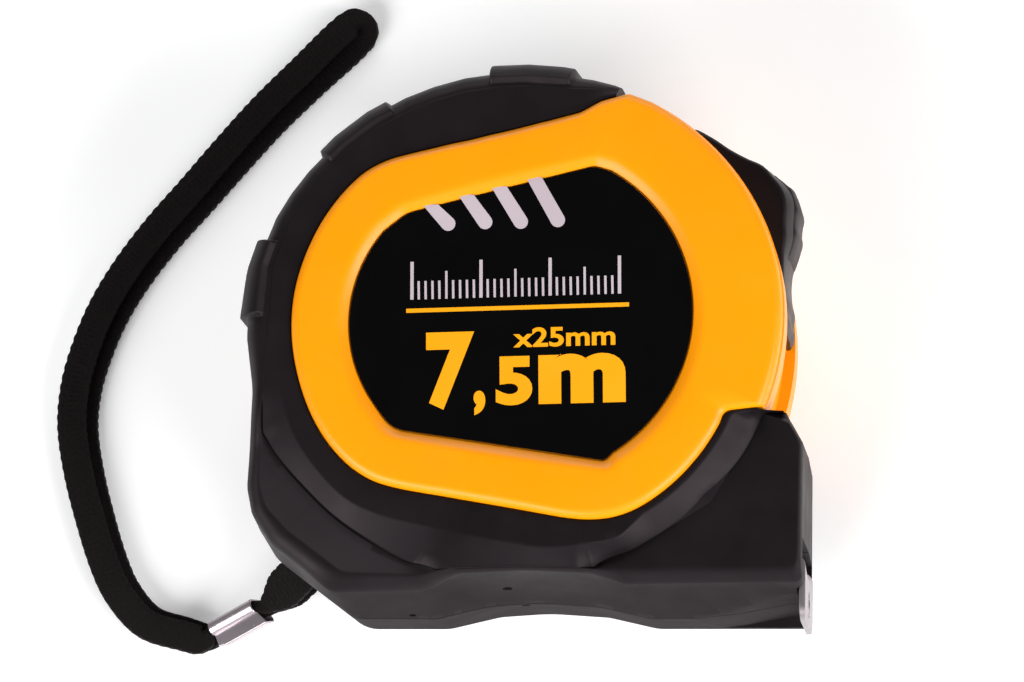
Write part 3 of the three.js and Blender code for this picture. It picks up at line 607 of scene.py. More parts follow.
# How the case changes round its outline: degrees and a share from 0 to 1, or millimetres.
BACK_CHEEK = [(195, 0), (206, 1), (244, 1), (256, 0)]
MOUTH_CHEEK = [(281, 0), (286, 1)]
MOUTH_SHOULDER = [(283, 0), (292, 1)]
BASE_ARCH = [(250, 0), (257, 1), (281, 1), (286, 0)]
BLOCK_END = [(337.5, 0), (338.2, 0.8), (339.3, 1)]
BLOCK_LEVEL = 14.0                      # how far below the reel axis the mouth block ends
CREST = [(68, 0.3), (80, 1.0), (180, 1.6), (212, 3.2), (240, 4.4), (272, 4.6), (290, 3.0),
         (302, 0.7), (338, 0.6)]
SLOPE = [(195, 0.6), (212, 3.2), (244, 3.6), (290, 3.0), (302, 0.7)]
RING_FALL = [(0, 0.4), (60, 0.4), (85, 0.15), (120, 0), (260, 0), (300, 0.2), (330, 0.4),
             (360, 0.4)]
RING_BEVEL = [(330, 0), (333, 0.6), (337, 0.6), (338.5, 0)]
RING_SIDE_TOP = 16.9                    # where the ring's side turns into its bevel
SHOULDER_TOP = 15.4
CHEEK_DROP = 3.9                        # how much lower it is under the cheeks
MOST_RUBBER = 4.2                       # thickest rubber over the shell's side
BARE_FROM, BARE_TO = 338, 67            # the side shows no rubber between these angles


def pad_rise(x, y, lean):
    """How far a thumb pad stands off the rubber where its surface leans this many degrees."""
    dx, dy = x - BACK[0], y - BACK[1]
    degrees = bearing(dx, dy)
    radius = math.hypot(dx, dy)
    rise = 0.0
    for middle, half, height, _ in PADS:
        along = math.radians(half - abs(degrees - middle)) * radius
        up = (PAD_TOP - lean) / 12
        edge = max(0.0, min(1.0, along / 0.5)) * max(0.0, min(1.0, up))
        rise = max(rise, height * math.sin(edge * math.pi / 2) * (1 - 0.25 * max(0.0, lean / 90)))
    return rise


def crest_radius(degrees, r_face, r_crease):
    """Where the level band beside the ring ends and its slope starts."""
    if r_crease - r_face > 0.8:
        return min(r_face + table(CREST, degrees), r_crease - 0.35)
    return 0.5 * (r_face + r_crease)


def shoulder(degrees, front, r_edge):
    """The shell's hidden shoulder: side radius, where its slope starts, and the side's height."""
    under = min(hidden_side.radius(degrees), outer.radius(degrees) - MOST_RUBBER)
    under = max(under, CAVITY + 1.0, r_edge + 0.02)
    drop = table(BACK_CHEEK, degrees) + table(MOUTH_SHOULDER, degrees) if front else 0.0
    slope_from = min(under - 0.1, r_edge + table(SLOPE, degrees))
    return under, max(slope_from, r_edge + 0.01), SHOULDER_TOP - CHEEK_DROP * drop


def face_radius(degrees):
    """Where the rubber stops at the yellow ring, or at the level end of the mouth block."""
    edge = ring_edge.radius(degrees) + GAP * 0.5
    if degrees <= BLOCK_END[0][0]:
        return edge
    return max(edge, BLOCK_LEVEL / math.sin(math.radians(360 - degrees)))


def grip_profile(degrees, wall, plate, front):
    """One closed profile of the rubber as (radius, z, lean) rows.

    The lean is 0 on the side wall and 90 on the face, and 180 where the pads don't reach.
    """
    r_outer = outer.radius(degrees)
    r_wall = min(wall.radius(degrees), r_outer)
    r_plate = min(plate.radius(degrees), r_wall - 0.05)
    r_face = min(face_radius(degrees), r_wall - 0.5)
    r_plate = max(r_plate, r_face + 0.45)
    left = right = arch = 0.0
    if front:
        left, right = table(BACK_CHEEK, degrees), table(MOUTH_CHEEK, degrees)
        arch = table(BASE_ARCH, degrees)
    wall_z = WALL_Z - 1.6 * left + 1.9 * arch + 0.6 * right
    crease_z = CREASE_Z - 1.3 * left - 0.8 * arch - 2.05 * right
    groove = 0.35 * max(left, 0.7 * right)
    r_crease = min(eased(CREASE, degrees, 1), r_plate - 0.12) if front else r_plate - 0.12
    r_crease = max(r_crease, r_face + 0.25)
    # The back cheek falls away outwards from the crease. Elsewhere the face stays level.
    falling = crease_z - CHEEK_SLOPE * (r_plate - r_crease)
    plate_z = (PLATE_Z - 0.9 * arch - 1.5 * right) * (1 - left) + falling * left
    r_crest = crest_radius(degrees, r_face, r_crease)
    rows = [(r_outer - 0.25, PARTING_GAP, 180), (r_outer - 0.06, PARTING_GAP + 0.08, 180),
            (r_outer, PARTING_GAP + 0.3, 0)]
    for t in (0.15, 0.4, 0.7, 0.88, 1.0):
        rows.append((r_outer + (r_wall - r_outer) * t, max(0.6, wall_z * t), 0))
    for i in range(1, ROUND_STEPS + 1):
        a = 0.5 * math.pi * i / ROUND_STEPS
        rows.append((r_wall + (r_plate - r_wall) * (1 - math.cos(a)),
                     wall_z + (plate_z - wall_z) * math.sin(a), 90 * i / ROUND_STEPS))
    lip = min(0.55, 0.4 * (r_plate - r_crease))
    near = lip + 0.15 * (r_plate - r_crease - lip)
    for reach in (r_plate - r_crease - 0.3 * lip, near):
        z = crease_z + (plate_z - crease_z) * reach / (r_plate - r_crease)
        rows.append((r_crease + reach, z, 180))
    rows.append((r_crease + lip * 0.5, crease_z - 0.6 * groove, 180))
    rows.append((r_crease, crease_z - groove, 180))
    round_end = min(0.45, 0.3 * (r_crease - r_crest)) / max(1e-6, r_crease - r_crest)
    for t in (0.05, 0.3, 0.55, 1 - round_end, 1 - round_end * 0.5, 1.0):
        bend = 0.5 * round_end * max(0.0, (t - 1 + round_end) / round_end) ** 2
        rise = t * (1 + 0.5 * round_end) - bend
        rows.append((r_crease + (r_crest - r_crease) * t,
                     crease_z + (GRIP_TOP - crease_z) * min(1.0, rise), 180))
    rows += [(r_face + 0.3 * min(1, r_crest - r_face), GRIP_TOP, 180),
             (r_face + 0.02, GRIP_TOP - 0.12, 180), (r_face, GRIP_TOP - 0.4, 180),
             (r_face, 15.9, 180)]
    under, slope_from, low = shoulder(degrees, front, ring_edge.radius(degrees))
    thick = 1.2 * min(1.0, max(0.2, r_wall - r_face))
    inner = min(max(under + GAP, r_wall - 3.4), r_wall - thick, r_outer - 1.0)
    inner = max(inner, r_face + 0.05)
    start = max(r_face + 0.02, min(slope_from + 0.1, inner - 0.02))
    rows += [(start, 15.8, 180), (inner, low + 0.35, 180), (inner, PARTING_GAP, 180)]
    # The mouth block's upper edge drops where it ends at the bare side.
    drop = table(BLOCK_END, degrees) * (0.45 if front else 0.25)
    return [(r, z if z < 12 else 12 + (z - 12) * (1 - drop), lean) for r, z, lean in rows]


def grip(name, wall, plate, side):
    """One rubber half: columns of one profile at angles round the reel axis."""
    wall, plate = Contour(wall), Contour(plate)
    marks = outer.angles() + wall.angles() + plate.angles() + ring_edge.angles()
    for middle, half, _, radius in PADS:
        for end in (middle - half, middle + half):
            x, y = polar(radius, end, BACK)
            marks += [bearing(x, y) + 0.15 * k for k in range(-8, 9)]
    columns = []
    for degrees in spread(marks, RIM_START, RIM_END, 1.0):
        rows = grip_profile(degrees, wall, plate, side > 0)
        ux, uy = polar(1, degrees)
        column = []
        for r, z, lean in rows:
            x, y = r * ux, r * uy
            rise = pad_rise(x, y, lean) if lean < 90 else 0.0
            out, up = rise * math.cos(math.radians(lean)), rise * math.sin(math.radians(lean))
            column.append((x + out * ux, y + out * uy, side * (z + up)))
        columns.append(column)
    return loft(name, columns, RUBBER, False, 50)


def ring_profile(degrees, front):
    """The shell's profile: reel room, side, shoulder, ring and label recess."""
    r_edge = ring_edge.radius(degrees)
    under, slope_from, low = shoulder(degrees, front, r_edge)
    if degrees < BARE_TO or degrees > BARE_FROM:
        under, slope_from, low = min(37.3, r_edge + 0.25), r_edge + 0.15, SHOULDER_TOP
    r_label = label_edge.radius(degrees)
    fall = table(RING_FALL, degrees)
    bevel = 1.45 + table(RING_BEVEL, degrees)
    inner_run = 2.1
    rows = [(CAVITY, PARTING_GAP), (under - 0.2, PARTING_GAP), (under, PARTING_GAP + 0.2),
            (under, 7.0), (under, low), (slope_from, SHOULDER_TOP), (r_edge + 0.01, 15.5),
            (r_edge, RING_SIDE_TOP)]
    for i in range(1, 6):
        t = 0.5 * math.pi * i / 5
        rows.append((r_edge - bevel * (1 - math.cos(t)),
                     RING_SIDE_TOP + (FACE_TOP - fall - RING_SIDE_TOP) * math.sin(t)))
    rows.append((r_edge - 0.46 * (r_edge - r_label), FACE_TOP - 0.02))
    start = r_label + inner_run
    rows.append((start + 0.3, FACE_TOP))
    for i in range(1, 6):
        t = i / 5
        rows.append((start - (inner_run - 0.35) * t, FACE_TOP - 0.9 * t ** 1.6))
    rows += [(r_label + 0.2, FACE_TOP - 1.05), (r_label + 0.2, 17.1), (2.0, 17.1), (2.0, REEL_Z),
             (CAVITY, REEL_Z)]
    return rows


def shell(name, side):
    """One shell half: columns of one profile all the way round."""
    marks = ring_edge.angles() + label_edge.angles() + outer.angles()
    marks += [end + nudge for end in (BARE_TO, BARE_FROM) for nudge in (-0.1, 0.1)]
    columns = []
    for degrees in spread(marks, 0.0, 360.0, 1.25)[:-1]:
        rows = ring_profile(degrees, side > 0)
        columns.append([(*polar(r, degrees), side * z) for r, z in rows])
    return loft(name, columns, YELLOW, True, 40)


# ------------------------------------------------------------------ cords first

STRAP_WIDTH, STRAP_THICKNESS = 5.0, 1.5
STRAP_STEP = 0.25                       # spacing of the strap's cross-sections
YARN_PITCH = 1.5
FERRULE_HALF = 4.1                      # half the length of strap that the ferrule pinches
PINCH, CLUSTERED, SPLAYED = 0.36, 0.95, 1.3     # share of its width in the ferrule, loop and case
FLOOR = -PARTING
LOW_STRAND = FLOOR + GAP + STRAP_THICKNESS / 2
HIGH_STRAND = LOW_STRAND + 1.9
FERRULE_NEAR = Vector((-43.6, -38.4, FLOOR + 5.6))
FERRULE_FAR = Vector((-50.4, -41.5, FLOOR + 2.6))
PIN = Vector((-33.8, -31.3, FLOOR + 10.4))
PIN_RADIUS = 1.1
MIDDLE = (FERRULE_NEAR + FERRULE_FAR) / 2
AXIS = (FERRULE_FAR - FERRULE_NEAR).normalized()
UP = (Vector((0, 0, 1)) - AXIS * AXIS.z).normalized()
SIDE = AXIS.cross(UP)
# The wrist loop's middle line on the floor.
ROUTE = [
    (-55.7, -41.2), (-61.2, -39.4), (-65.2, -35.1), (-67.6, -30.3), (-69.9, -23.5), (-71.8, -16.6),
    (-73.0, -9.6), (-72.7, -3.6), (-71.3, 2.1), (-68.9, 8.3), (-65.4, 14.4), (-60.7, 20.8),
    (-55.6, 26.7), (-50.7, 32.5), (-44.8, 39.2), (-39.0, 45.0), (-31.6, 52.2),
]


def catmull(points, step):
    """Evenly spaced points on a smooth curve through the given ones."""
    raw = []
    last = len(points) - 1
    for i in range(last):
        p0, p1, p2, p3 = (points[max(0, min(last, i + k))] for k in (-1, 0, 1, 2))
        t0, t1 = 0.0, (p1 - p0).length ** 0.5
        t2 = t1 + (p2 - p1).length ** 0.5
        t3 = t2 + (p3 - p2).length ** 0.5
        m1 = (p2 - p0) / (t2 - t0) if t2 > t0 else p2 - p1
        m2 = (p3 - p1) / (t3 - t1) if t3 > t1 else p2 - p1
        span = t2 - t1
        for k in range(24):
            t = k / 24
            h1, h2 = 2 * t ** 3 - 3 * t ** 2 + 1, t ** 3 - 2 * t ** 2 + t
            h3, h4 = -2 * t ** 3 + 3 * t ** 2, t ** 3 - t ** 2
            raw.append(h1 * p1 + h2 * span * m1 + h3 * p2 + h4 * span * m2)
    raw.append(points[-1].copy())
    out, carry = [raw[0]], 0.0
    for a, b in zip(raw, raw[1:]):
        length = (b - a).length
        while carry + length >= step:
            t = (step - carry) / length
            a = a + (b - a) * t
            length = (b - a).length
            carry = 0.0
            out.append(a)
        carry += length
    if (out[-1] - raw[-1]).length > step * 0.4:
        out.append(raw[-1])
    return out


def strand(side):
    """One side of the wrist loop, from the ferrule to the far tip."""
    out = []
    last = len(ROUTE) - 1
    for i, (x, y) in enumerate(ROUTE):
        x0, y0 = ROUTE[max(i - 1, 0)]
        x1, y1 = ROUTE[min(i + 1, last)]
        across = Vector((y0 - y1, x1 - x0)).normalized()
        reach = side * (0.9 + 1.5 * i / last) / 2
        height = HIGH_STRAND if side > 0 else LOW_STRAND
        out.append(Vector((x + reach * across.x, y + reach * across.y, height)))
    return out


def strap_path():
    """The whole strap as one line.

    It runs out of the ferrule, round the pin, back through the ferrule and round the wrist loop.
    """
    def beside(point, along, lift):
        """A point by the ferrule, where the two strands lie side by side and closer together."""
        inside = max(0.0, min(1.0, (6.3 - abs((point + AXIS * along - MIDDLE).dot(AXIS))) / 2.0))
        squeezed = lift * (1 - 0.34 * inside)
        sideways = inside * (1.0 if lift > 0 else -0.2)
        return point + AXIS * along + UP * squeezed + SIDE * sideways

    outward = FERRULE_NEAR - PIN
    outward.z = 0
    outward.normalize()
    bend = PIN_RADIUS + GAP + STRAP_THICKNESS / 2
    low, high = -0.95, 0.95
    points = [beside(MIDDLE, 0.2, low), beside(FERRULE_NEAR, 0.5, low),
              beside(FERRULE_NEAR, -1.5, low)]
    points.append(PIN + outward * 3 + Vector((0, 0, -bend - 0.1)))
    for angle in (-90, -45, 0, 45, 90):
        a = math.radians(angle)
        points.append(PIN - outward * bend * math.cos(a) + Vector((0, 0, bend * math.sin(a))))
    points.append(PIN + outward * 3 + Vector((0, 0, bend - 0.6)))
    points += [beside(FERRULE_NEAR, -1.9, high), beside(FERRULE_NEAR, 0.2, high),
               beside(MIDDLE, 0, high), beside(FERRULE_FAR, -0.2, high),
               beside(FERRULE_FAR, 1.9, high)]
    upper, lower = strand(1), strand(-1)
    tip = (upper[-1] + lower[-1]) / 2
    fold = tip + (tip - (upper[-2] + lower[-2]) / 2).normalized() * 1.4
    points += upper + [fold] + lower[::-1]
    points += [beside(FERRULE_FAR, 1.5, low), beside(FERRULE_FAR, -0.5, low),
               beside(MIDDLE, 0.6, low)]
    return catmull(points, STRAP_STEP)


def braid_height(along, across):
    """A flat braid's relief: two sets of yarns at a slant, over and under each other."""
    a = along / YARN_PITCH + across * 1.35
    b = along / YARN_PITCH - across * 1.35
    one = abs(math.sin(math.pi * a))
    two = abs(math.sin(math.pi * b))
    over = 0.5 + 0.5 * math.sin(math.pi * (a + b)) * math.cos(math.pi * (a - b))
    return over * one + (1 - over) * two


def braid_width(p):
    """How wide the braid lies: pinched in the ferrule, splayed where it enters the case."""
    along = (p - MIDDLE).dot(AXIS)
    near = (p - MIDDLE).length
    if along < 0 and near < 40:
        beyond, wide = (-along - FERRULE_HALF) / 6.5, SPLAYED
    else:
        beyond, wide = (near - FERRULE_HALF) / 3, CLUSTERED
    t = min(1.0, max(0.0, beyond))
    return PINCH + (wide - PINCH) * t * t * (3 - 2 * t)


def strap():
    """The braid: a flattened cross-section with its yarns in relief, carried along the line."""
    line = strap_path()
    w, t = STRAP_WIDTH / 2, STRAP_THICKNESS / 2
    section = []
    sides = 36
    for k in range(sides):
        a = 2 * math.pi * k / sides
        c, s = math.cos(a), math.sin(a)
        x = w * math.copysign(abs(c) ** 0.8, c)
        y = t * math.copysign(abs(s) ** 0.45, s)
        section.append((x, y, k / sides))
    points, coords = [], []
    across = None
    for i, p in enumerate(line):
        ahead = line[min(i + 1, len(line) - 1)]
        behind = line[max(i - 1, 0)]
        tangent = (ahead - behind).normalized()
        level = Vector((-tangent.y, tangent.x, 0))
        if across is None:
            across = level.normalized()
        elif abs(level.dot(across)) > 0.6:
            across = (level if level.dot(across) > 0 else -level).normalized()
        side = (across - tangent * across.dot(tangent)).normalized()
        normal = side.cross(tangent)
        along = i * STRAP_STEP
        gather = braid_width(p)
        for x, y, k in section:
            turned = 0.5 if y < 0 else 0
            lift = 0.42 * (braid_height(along, 2.0 * x / STRAP_WIDTH * 1.6 + turned) - 0.75)
            edge = 0.1 * math.sin(2 * math.pi * along / YARN_PITCH) * (x / w) ** 6
            scale = 0.95 * gather + lift * 0.28
            press = 0.9 - 0.12 * max(0.0, (0.6 - gather) / 0.24)
            points.append(tuple(p + side * (x * (scale * 0.98) + math.copysign(edge * gather, x))
                                + normal * (y * press + math.copysign(lift, y) * 0.6)))
            coords.append((along * 0.01, k))
    faces = grid_faces(len(line), sides, False)
    piece = mesh_object("wrist_strap_braid", points, faces, BRAID, 80)
    layer = piece.data.uv_layers.new(name="UVMap")
    for loop in piece.data.loops:
        layer.data[loop.index].uv = coords[loop.vertex_index]
    finish_piece(piece, "case", "strap_braid", "wrist_strap", "strap_anchor_loop")
    return piece, line


def ferrule():
    """A metal strip folded round both strands: rolled on one side, a flat flange on the other."""
    outline = path([(-2.1, -1.7, 0.5), (2.05, -1.75, 0.9), (2.2, 1.0), (2.1, 1.4), (1.85, 1.78),
                    (1.45, 2.02), (1.0, 2.08), (0.55, 1.98), (0.2, 1.76), (0.0, 1.46), (-0.06, 1.0),
                    (-2.1, 1.2, 0.12), (-2.2, 0.9, 0.1)], True)
    length = (FERRULE_FAR - FERRULE_NEAR).length
    columns = []
    for along, trim in ((0.0, 0.08), (0.1, 0.0), (length - 0.1, 0.0), (length, 0.08)):
        column = []
        for u, v in outline:
            # The flange reaches further towards the case and stops short at the other end.
            shift = -0.9 * min(1.0, max(0.0, -u / 1.2))
            k = 1 - trim
            column.append(tuple(FERRULE_NEAR + AXIS * (along + shift) + SIDE * u * k + UP * v * k))
        columns.append(column)
    for along in (length, 0.0):
        columns.append([tuple(FERRULE_NEAR + AXIS * along + SIDE * u * 0.86 + UP * v * 0.84)
                        for u, v in outline])
    piece = loft("strap_ferrule_crimp", columns, FERRULE, True, 32)
    return finish_piece(piece, "case", "ferrule_chrome", "strap_ferrule")


strap_piece, strap_line = strap()
crimp = ferrule()

# ------------------------------------------------------------------ the case


def sector(r0, r1, start, end, half):
    """A tool that cuts part of a ring about the reel axis."""
    outline = arc((0, 0), r1, start, end) + arc((0, 0), r0, end, start)
    return prism("tool", outline, -half, half, YELLOW)


def strap_pocket():
    """The pocket round the strap pin, open at the lower back corner."""
    turn = math.radians(36.4)
    c, s = math.cos(turn), math.sin(turn)
    outline = [(PIN.x + x * c - y * s, PIN.y + x * s + y * c)
               for x, y in ((-12, -4.6), (3.6, -4.6), (3.6, 4.6), (-12, 4.6))]
    return prism("tool", outline, PIN.z - 3.5, PIN.z + 3.5, RUBBER)


SCREWS = [(-28.6, 21.8), (15.35, 28.85), (-24.3, -31.0), (34.2, -20.4)]
SCREW_WELL = 2.6
CLIP_SCREW = (0, 19.5)


def mouth_tools():
    """The mouth's opening, the hook's seat, the sloping cut under the mouth, and the pocket."""
    slope = [(23.5, -42.6), (23.5, -42.0), (30, -41.3), (41, -39.2), (41, -42.6)]
    return [
        block(36, 42, -37.8, -32.3, -13.9, 13.9, RUBBER),
        block(38.9, 42, -43, -32.3, -10.5, 10.5, RUBBER),
        prism("tool", slope, -12, 12, RUBBER),
        block(35.6, 39.2, -38.8, -37.2, -9.3, 9.3, RUBBER),
        strap_pocket(),
    ]


def dimple(x, y, z, radius, depth):
    """A shallow round gate mark in the base, about an axis along Y."""
    outline = [polar(radius, 30 * k) for k in range(12)]
    columns = [[(x + u, y + v, z + w) for u, w in outline] for v in (-depth, depth * 3)]
    return loft("tool", columns, RUBBER, False)


def make_grips():
    front = grip("front_grip_rubber", FRONT_WALL, FRONT_PLATE, 1)
    dimples = [dimple(-3.2, -39.0, 7.5, 0.75, 0.9), dimple(-17.8, -41.4, 1.6, 0.5, 0.4)]
    combine(front, mouth_tools() + dimples)
    rear = grip("rear_grip_rubber", REAR_WALL, REAR_PLATE, -1)
    holes = [rod(SCREWS[i], SCREW_WELL, -22, -13, RUBBER) for i in (2, 3, 0)]
    combine(rear, mouth_tools() + holes + [dimple(-1.5, -39.8, -1.6, 0.7, 0.8)])
    for piece, node in ((front, "front_grip"), (rear, "rear_grip")):
        shade(piece, 38)
        even_normals(piece)
        finish_piece(piece, "case", "grip_rubber", node)


def shell_tools():
    """The blade's channel, the cut that the lock slides in, the arm's slot and its room."""
    return [
        block(-19, 30, -37.5, -20, -13.6, 13.6, RUBBER),
        block(29, 42, -37.5, -32.6, -13.6, 13.6, RUBBER),
        sector(35.7, 42, -20.4, 53, 9.3),
        sector(33.5, 36.5, 12, 37, 3.3),
        sector(28, 34.3, -20, 45, 6.3),
        strap_pocket(),
    ]


def make_shells():
    front = shell("front_shell_abs", 1)
    combine(front, shell_tools())
    rear = shell("rear_shell_abs", -1)
    combine(rear, [block(-11, 11, 9.7, 25.6, -18.3, -17.0, YELLOW)], "UNION")
    holes = [rod(place, SCREW_WELL, -22, -13.2, YELLOW) for place in SCREWS]
    holes.append(rod(CLIP_SCREW, 1.8, -22, -15.1, YELLOW, 24))
    combine(rear, shell_tools() + holes)
    for piece, node in ((front, "front_shell"), (rear, "rear_shell")):
        shade(piece, 38)
        even_normals(piece)
        finish_piece(piece, "case", "shell_yellow", node)


def make_labels():
    thick = 0.5
    front = prism("front_label_print", LABEL_EDGE, LABEL_TOP - thick, LABEL_TOP, LABEL, 30)
    finish_piece(front, "case", "label_black", "front_label")
    top = -LABEL_TOP + thick
    rear = prism("rear_label_print", LABEL_EDGE, top - thick, top, LABEL, 30)
    combine(rear, [block(-11.3, 11.3, 9.4, 27, -20, -15, RUBBER)])
    finish_piece(rear, "case", "label_black", "rear_label")


make_grips()
make_shells()
make_labels()

# ------------------------------------------------------------------ label print

INK = 0.05              # how far the ink stands off the label
LETTER_TILT = 1.2       # degrees
ROW_SLOPE = 0.022       # the same tilt as a rise over a run


def printed(name, outlines, material):
    """Thin inked shapes that lie on the front label."""
    parts = [prism("part", outline, LABEL_TOP - 0.02, LABEL_TOP + INK, material, 30)
             for outline in outlines]
    finish_piece(join(parts, name), "case", "label_black")


def join(parts, name):
    """One piece made of several with the same material."""
    mesh = bpy.data.meshes.new(name)
    work = bmesh.new()
    for part in parts:
        work.from_mesh(part.data)
    work.to_mesh(mesh)
    work.free()
    mesh.materials.append(parts[0].data.materials[0])
    whole = linked(name, mesh)
    for part in parts:
        bpy.data.objects.remove(part)
    shade(whole, 40)
    return whole


def lettering(name, text, size, weight, thickness):
    """Points and faces of plain flat lettering, with its left edge and base line at 0."""
    curve = bpy.data.curves.new(name, "FONT")
    curve.body = text
    curve.size = size
    curve.offset = weight
    curve.extrude = thickness / 2
    curve.resolution_u = 6
    shape = linked(name, curve)
    bpy.context.view_layer.update()
    mesh = bpy.data.meshes.new_from_object(shape)
    points = [v.co.copy() for v in mesh.vertices]
    faces = [tuple(f.vertices) for f in mesh.polygons]
    bpy.data.objects.remove(shape)
    left = min(p.x for p in points)
    low = min(p.y for p in points)
    return [Vector((p.x - left, p.y - low, p.z)) for p in points], faces


def letters_on_label(name, text, low_left, width, height, weight):
    """Amber lettering stretched to a size and tilted a little, as the row above it is."""
    points, faces = lettering(name, text, 10, weight, 0.07)
    across = max(p.x for p in points)
    tall = max(p.y for p in points)
    c, s = math.cos(math.radians(LETTER_TILT)), math.sin(math.radians(LETTER_TILT))
    spots = []
    for p in points:
        x, y = p.x * width / across, p.y * height / tall
        spots.append((low_left[0] + x * c - y * s, low_left[1] + x * s + y * c,
                      LABEL_TOP + 0.02 + p.z))
    finish_piece(mesh_object(name, spots, faces, PRINT_AMBER, 30), "case", "label_black")


def slanted_bar(top, bottom, width):
    """A straight bar with a square top, cut level, and a round lower end."""
    (x0, y0), (x1, y1) = top, bottom
    half = width / 2
    heading = math.degrees(math.atan2(y1 - y0, x1 - x0))
    end = arc((x1, y1), half * 0.92, heading - 90, heading + 90, 20)
    return [(x0 + half, y0), (x0 - half, y0)] + end


def graduation_row(x0, x1, y):
    """A plain ruler row: short, middle and long strokes standing on a line."""
    outlines = []
    spaces = 30
    for i in range(spaces + 1):
        x = x0 + (x1 - x0) * i / spaces
        base = y + ROW_SLOPE * (x - x0)
        top = base + (5.6 if i % 10 == 0 else 4.1 if i % 5 == 0 else 2.7)
        half = 0.24 if i % 10 == 0 else 0.17
        outlines.append([(x - half, base), (x + half, base),
                         (x + half - 0.08, top), (x - half - 0.08, top)])
    return outlines


# Name, text, lower left corner, width, height and weight.
LETTERS = (
    ("label_size_7", "7", (-14.2, -14.2), 7.0, 11.4, 0.42),
    ("label_size_comma", ",", (-7.3, -15.0), 1.7, 3.6, 0.42),
    ("label_size_5", "5", (-4.1, -13.6), 5.3, 7.2, 0.42),
    ("label_size_m", "m", (2.1, -13.4), 12.6, 7.3, 0.55),
    ("label_width", "x25mm", (-1.7, -5.1), 14.8, 2.9, 0.25),
)


def label_art():
    """Bars, a ruler row over a rule, and the blade's size."""
    bars = [((-14.2, 16.2), (-11.5, 13.3)), ((-9.0, 17.6), (-6.1, 13.5)),
            ((-4.2, 18.8), (-0.9, 13.5)), ((0.9, 20.1), (4.5, 13.7))]
    printed("label_bars", [slanted_bar(top, bottom, 2.3) for top, bottom in bars], PRINT_GREY)
    printed("label_graduations", graduation_row(-16.6, 13.6, 2.1), PRINT_GREY)
    rise = ROW_SLOPE * 32
    rule = [(-17.4, 0.15), (15.0, 0.15 + rise), (15.0, 0.75 + rise), (-17.4, 0.75)]
    printed("label_rule", [rule], PRINT_AMBER)
    for name, text, low_left, width, height, weight in LETTERS:
        letters_on_label(name, text, low_left, width, height, weight)


label_art()

# ------------------------------------------------------------------ thumb lock

# Degrees about the reel axis, radius along the middle, radius at the sides.
LOCK_STOPS = [
    (-1.0, 36.9, 36.6), (-0.2, 37.2, 36.9), (1.0, 37.5, 37.1), (2.9, 37.35, 37.1),
    (5.2, 37.75, 37.2), (7.6, 37.6, 37.2), (10.0, 37.65, 37.3), (12.2, 37.9, 37.5),
    (14.7, 38.5, 37.9), (16.4, 39.3, 38.2), (19.0, 40.6, 39.0), (22.1, 41.6, 39.7),
    (25.0, 42.7, 40.7), (27.0, 43.05, 41.2), (28.6, 43.0, 41.4), (30.3, 42.7, 41.4),
    (32.5, 42.1, 41.2), (34.2, 41.7, 41.1), (35.8, 41.1, 40.8), (38.4, 40.05, 39.8),
    (42.3, 39.0, 38.8), (46.1, 38.5, 38.3), (49.0, 38.15, 37.9), (50.8, 37.9, 37.6),
    (51.6, 37.5, 37.2), (52.0, 36.9, 36.7),
]
LOCK_SIDE = 8.7         # half the lock's width
LOCK_FLOOR = 36.05      # radius of its inner side
PAD_SIDE = 6.0          # half the pad's width
PAD_FROM, PAD_TO = 15.6, 33.4
PAD_ROOM = 0.35         # degrees of clearance at the pad's ends
RIDGE_FROM, RIDGE_TO, RIDGE_MIDDLE, RIDGE_PITCH = 18.5, 30.5, 24.5, 4.4


def lock_radius(degrees, z):
    """The lock's outer surface: crowned across, with its sides dropping away."""
    middle, side = eased(LOCK_STOPS, degrees, 1), eased(LOCK_STOPS, degrees, 2)
    t = min(1.0, max(0.0, (abs(z) - 2.5) / (LOCK_SIDE - 2.5)))
    return middle + (side - middle) * t * t


def lock_column(degrees, half, floor, grow, edge):
    """One closed cross-section at an angle: crowned outside, with rounded edges."""
    across = [-half + edge * (1 - math.cos(a)) for a in (0, 0.5, 1.0, 1.57)]
    across += [-half + edge + (2 * half - 2 * edge) * k / 16 for k in range(1, 16)]
    across += [half - edge * (1 - math.cos(a)) for a in (1.57, 1.0, 0.5, 0)]
    column = [(*polar(floor, degrees), -half), (*polar(floor, degrees), half)]
    for z in reversed(across):
        inset = max(0.0, (abs(z) - (half - edge)) / edge)
        drop = edge * (1 - math.sqrt(max(0.0, 1 - inset ** 2)))
        radius = max(floor + 0.12, lock_radius(degrees, z) + grow - drop)
        column.append((*polar(radius, degrees), z))
    return column


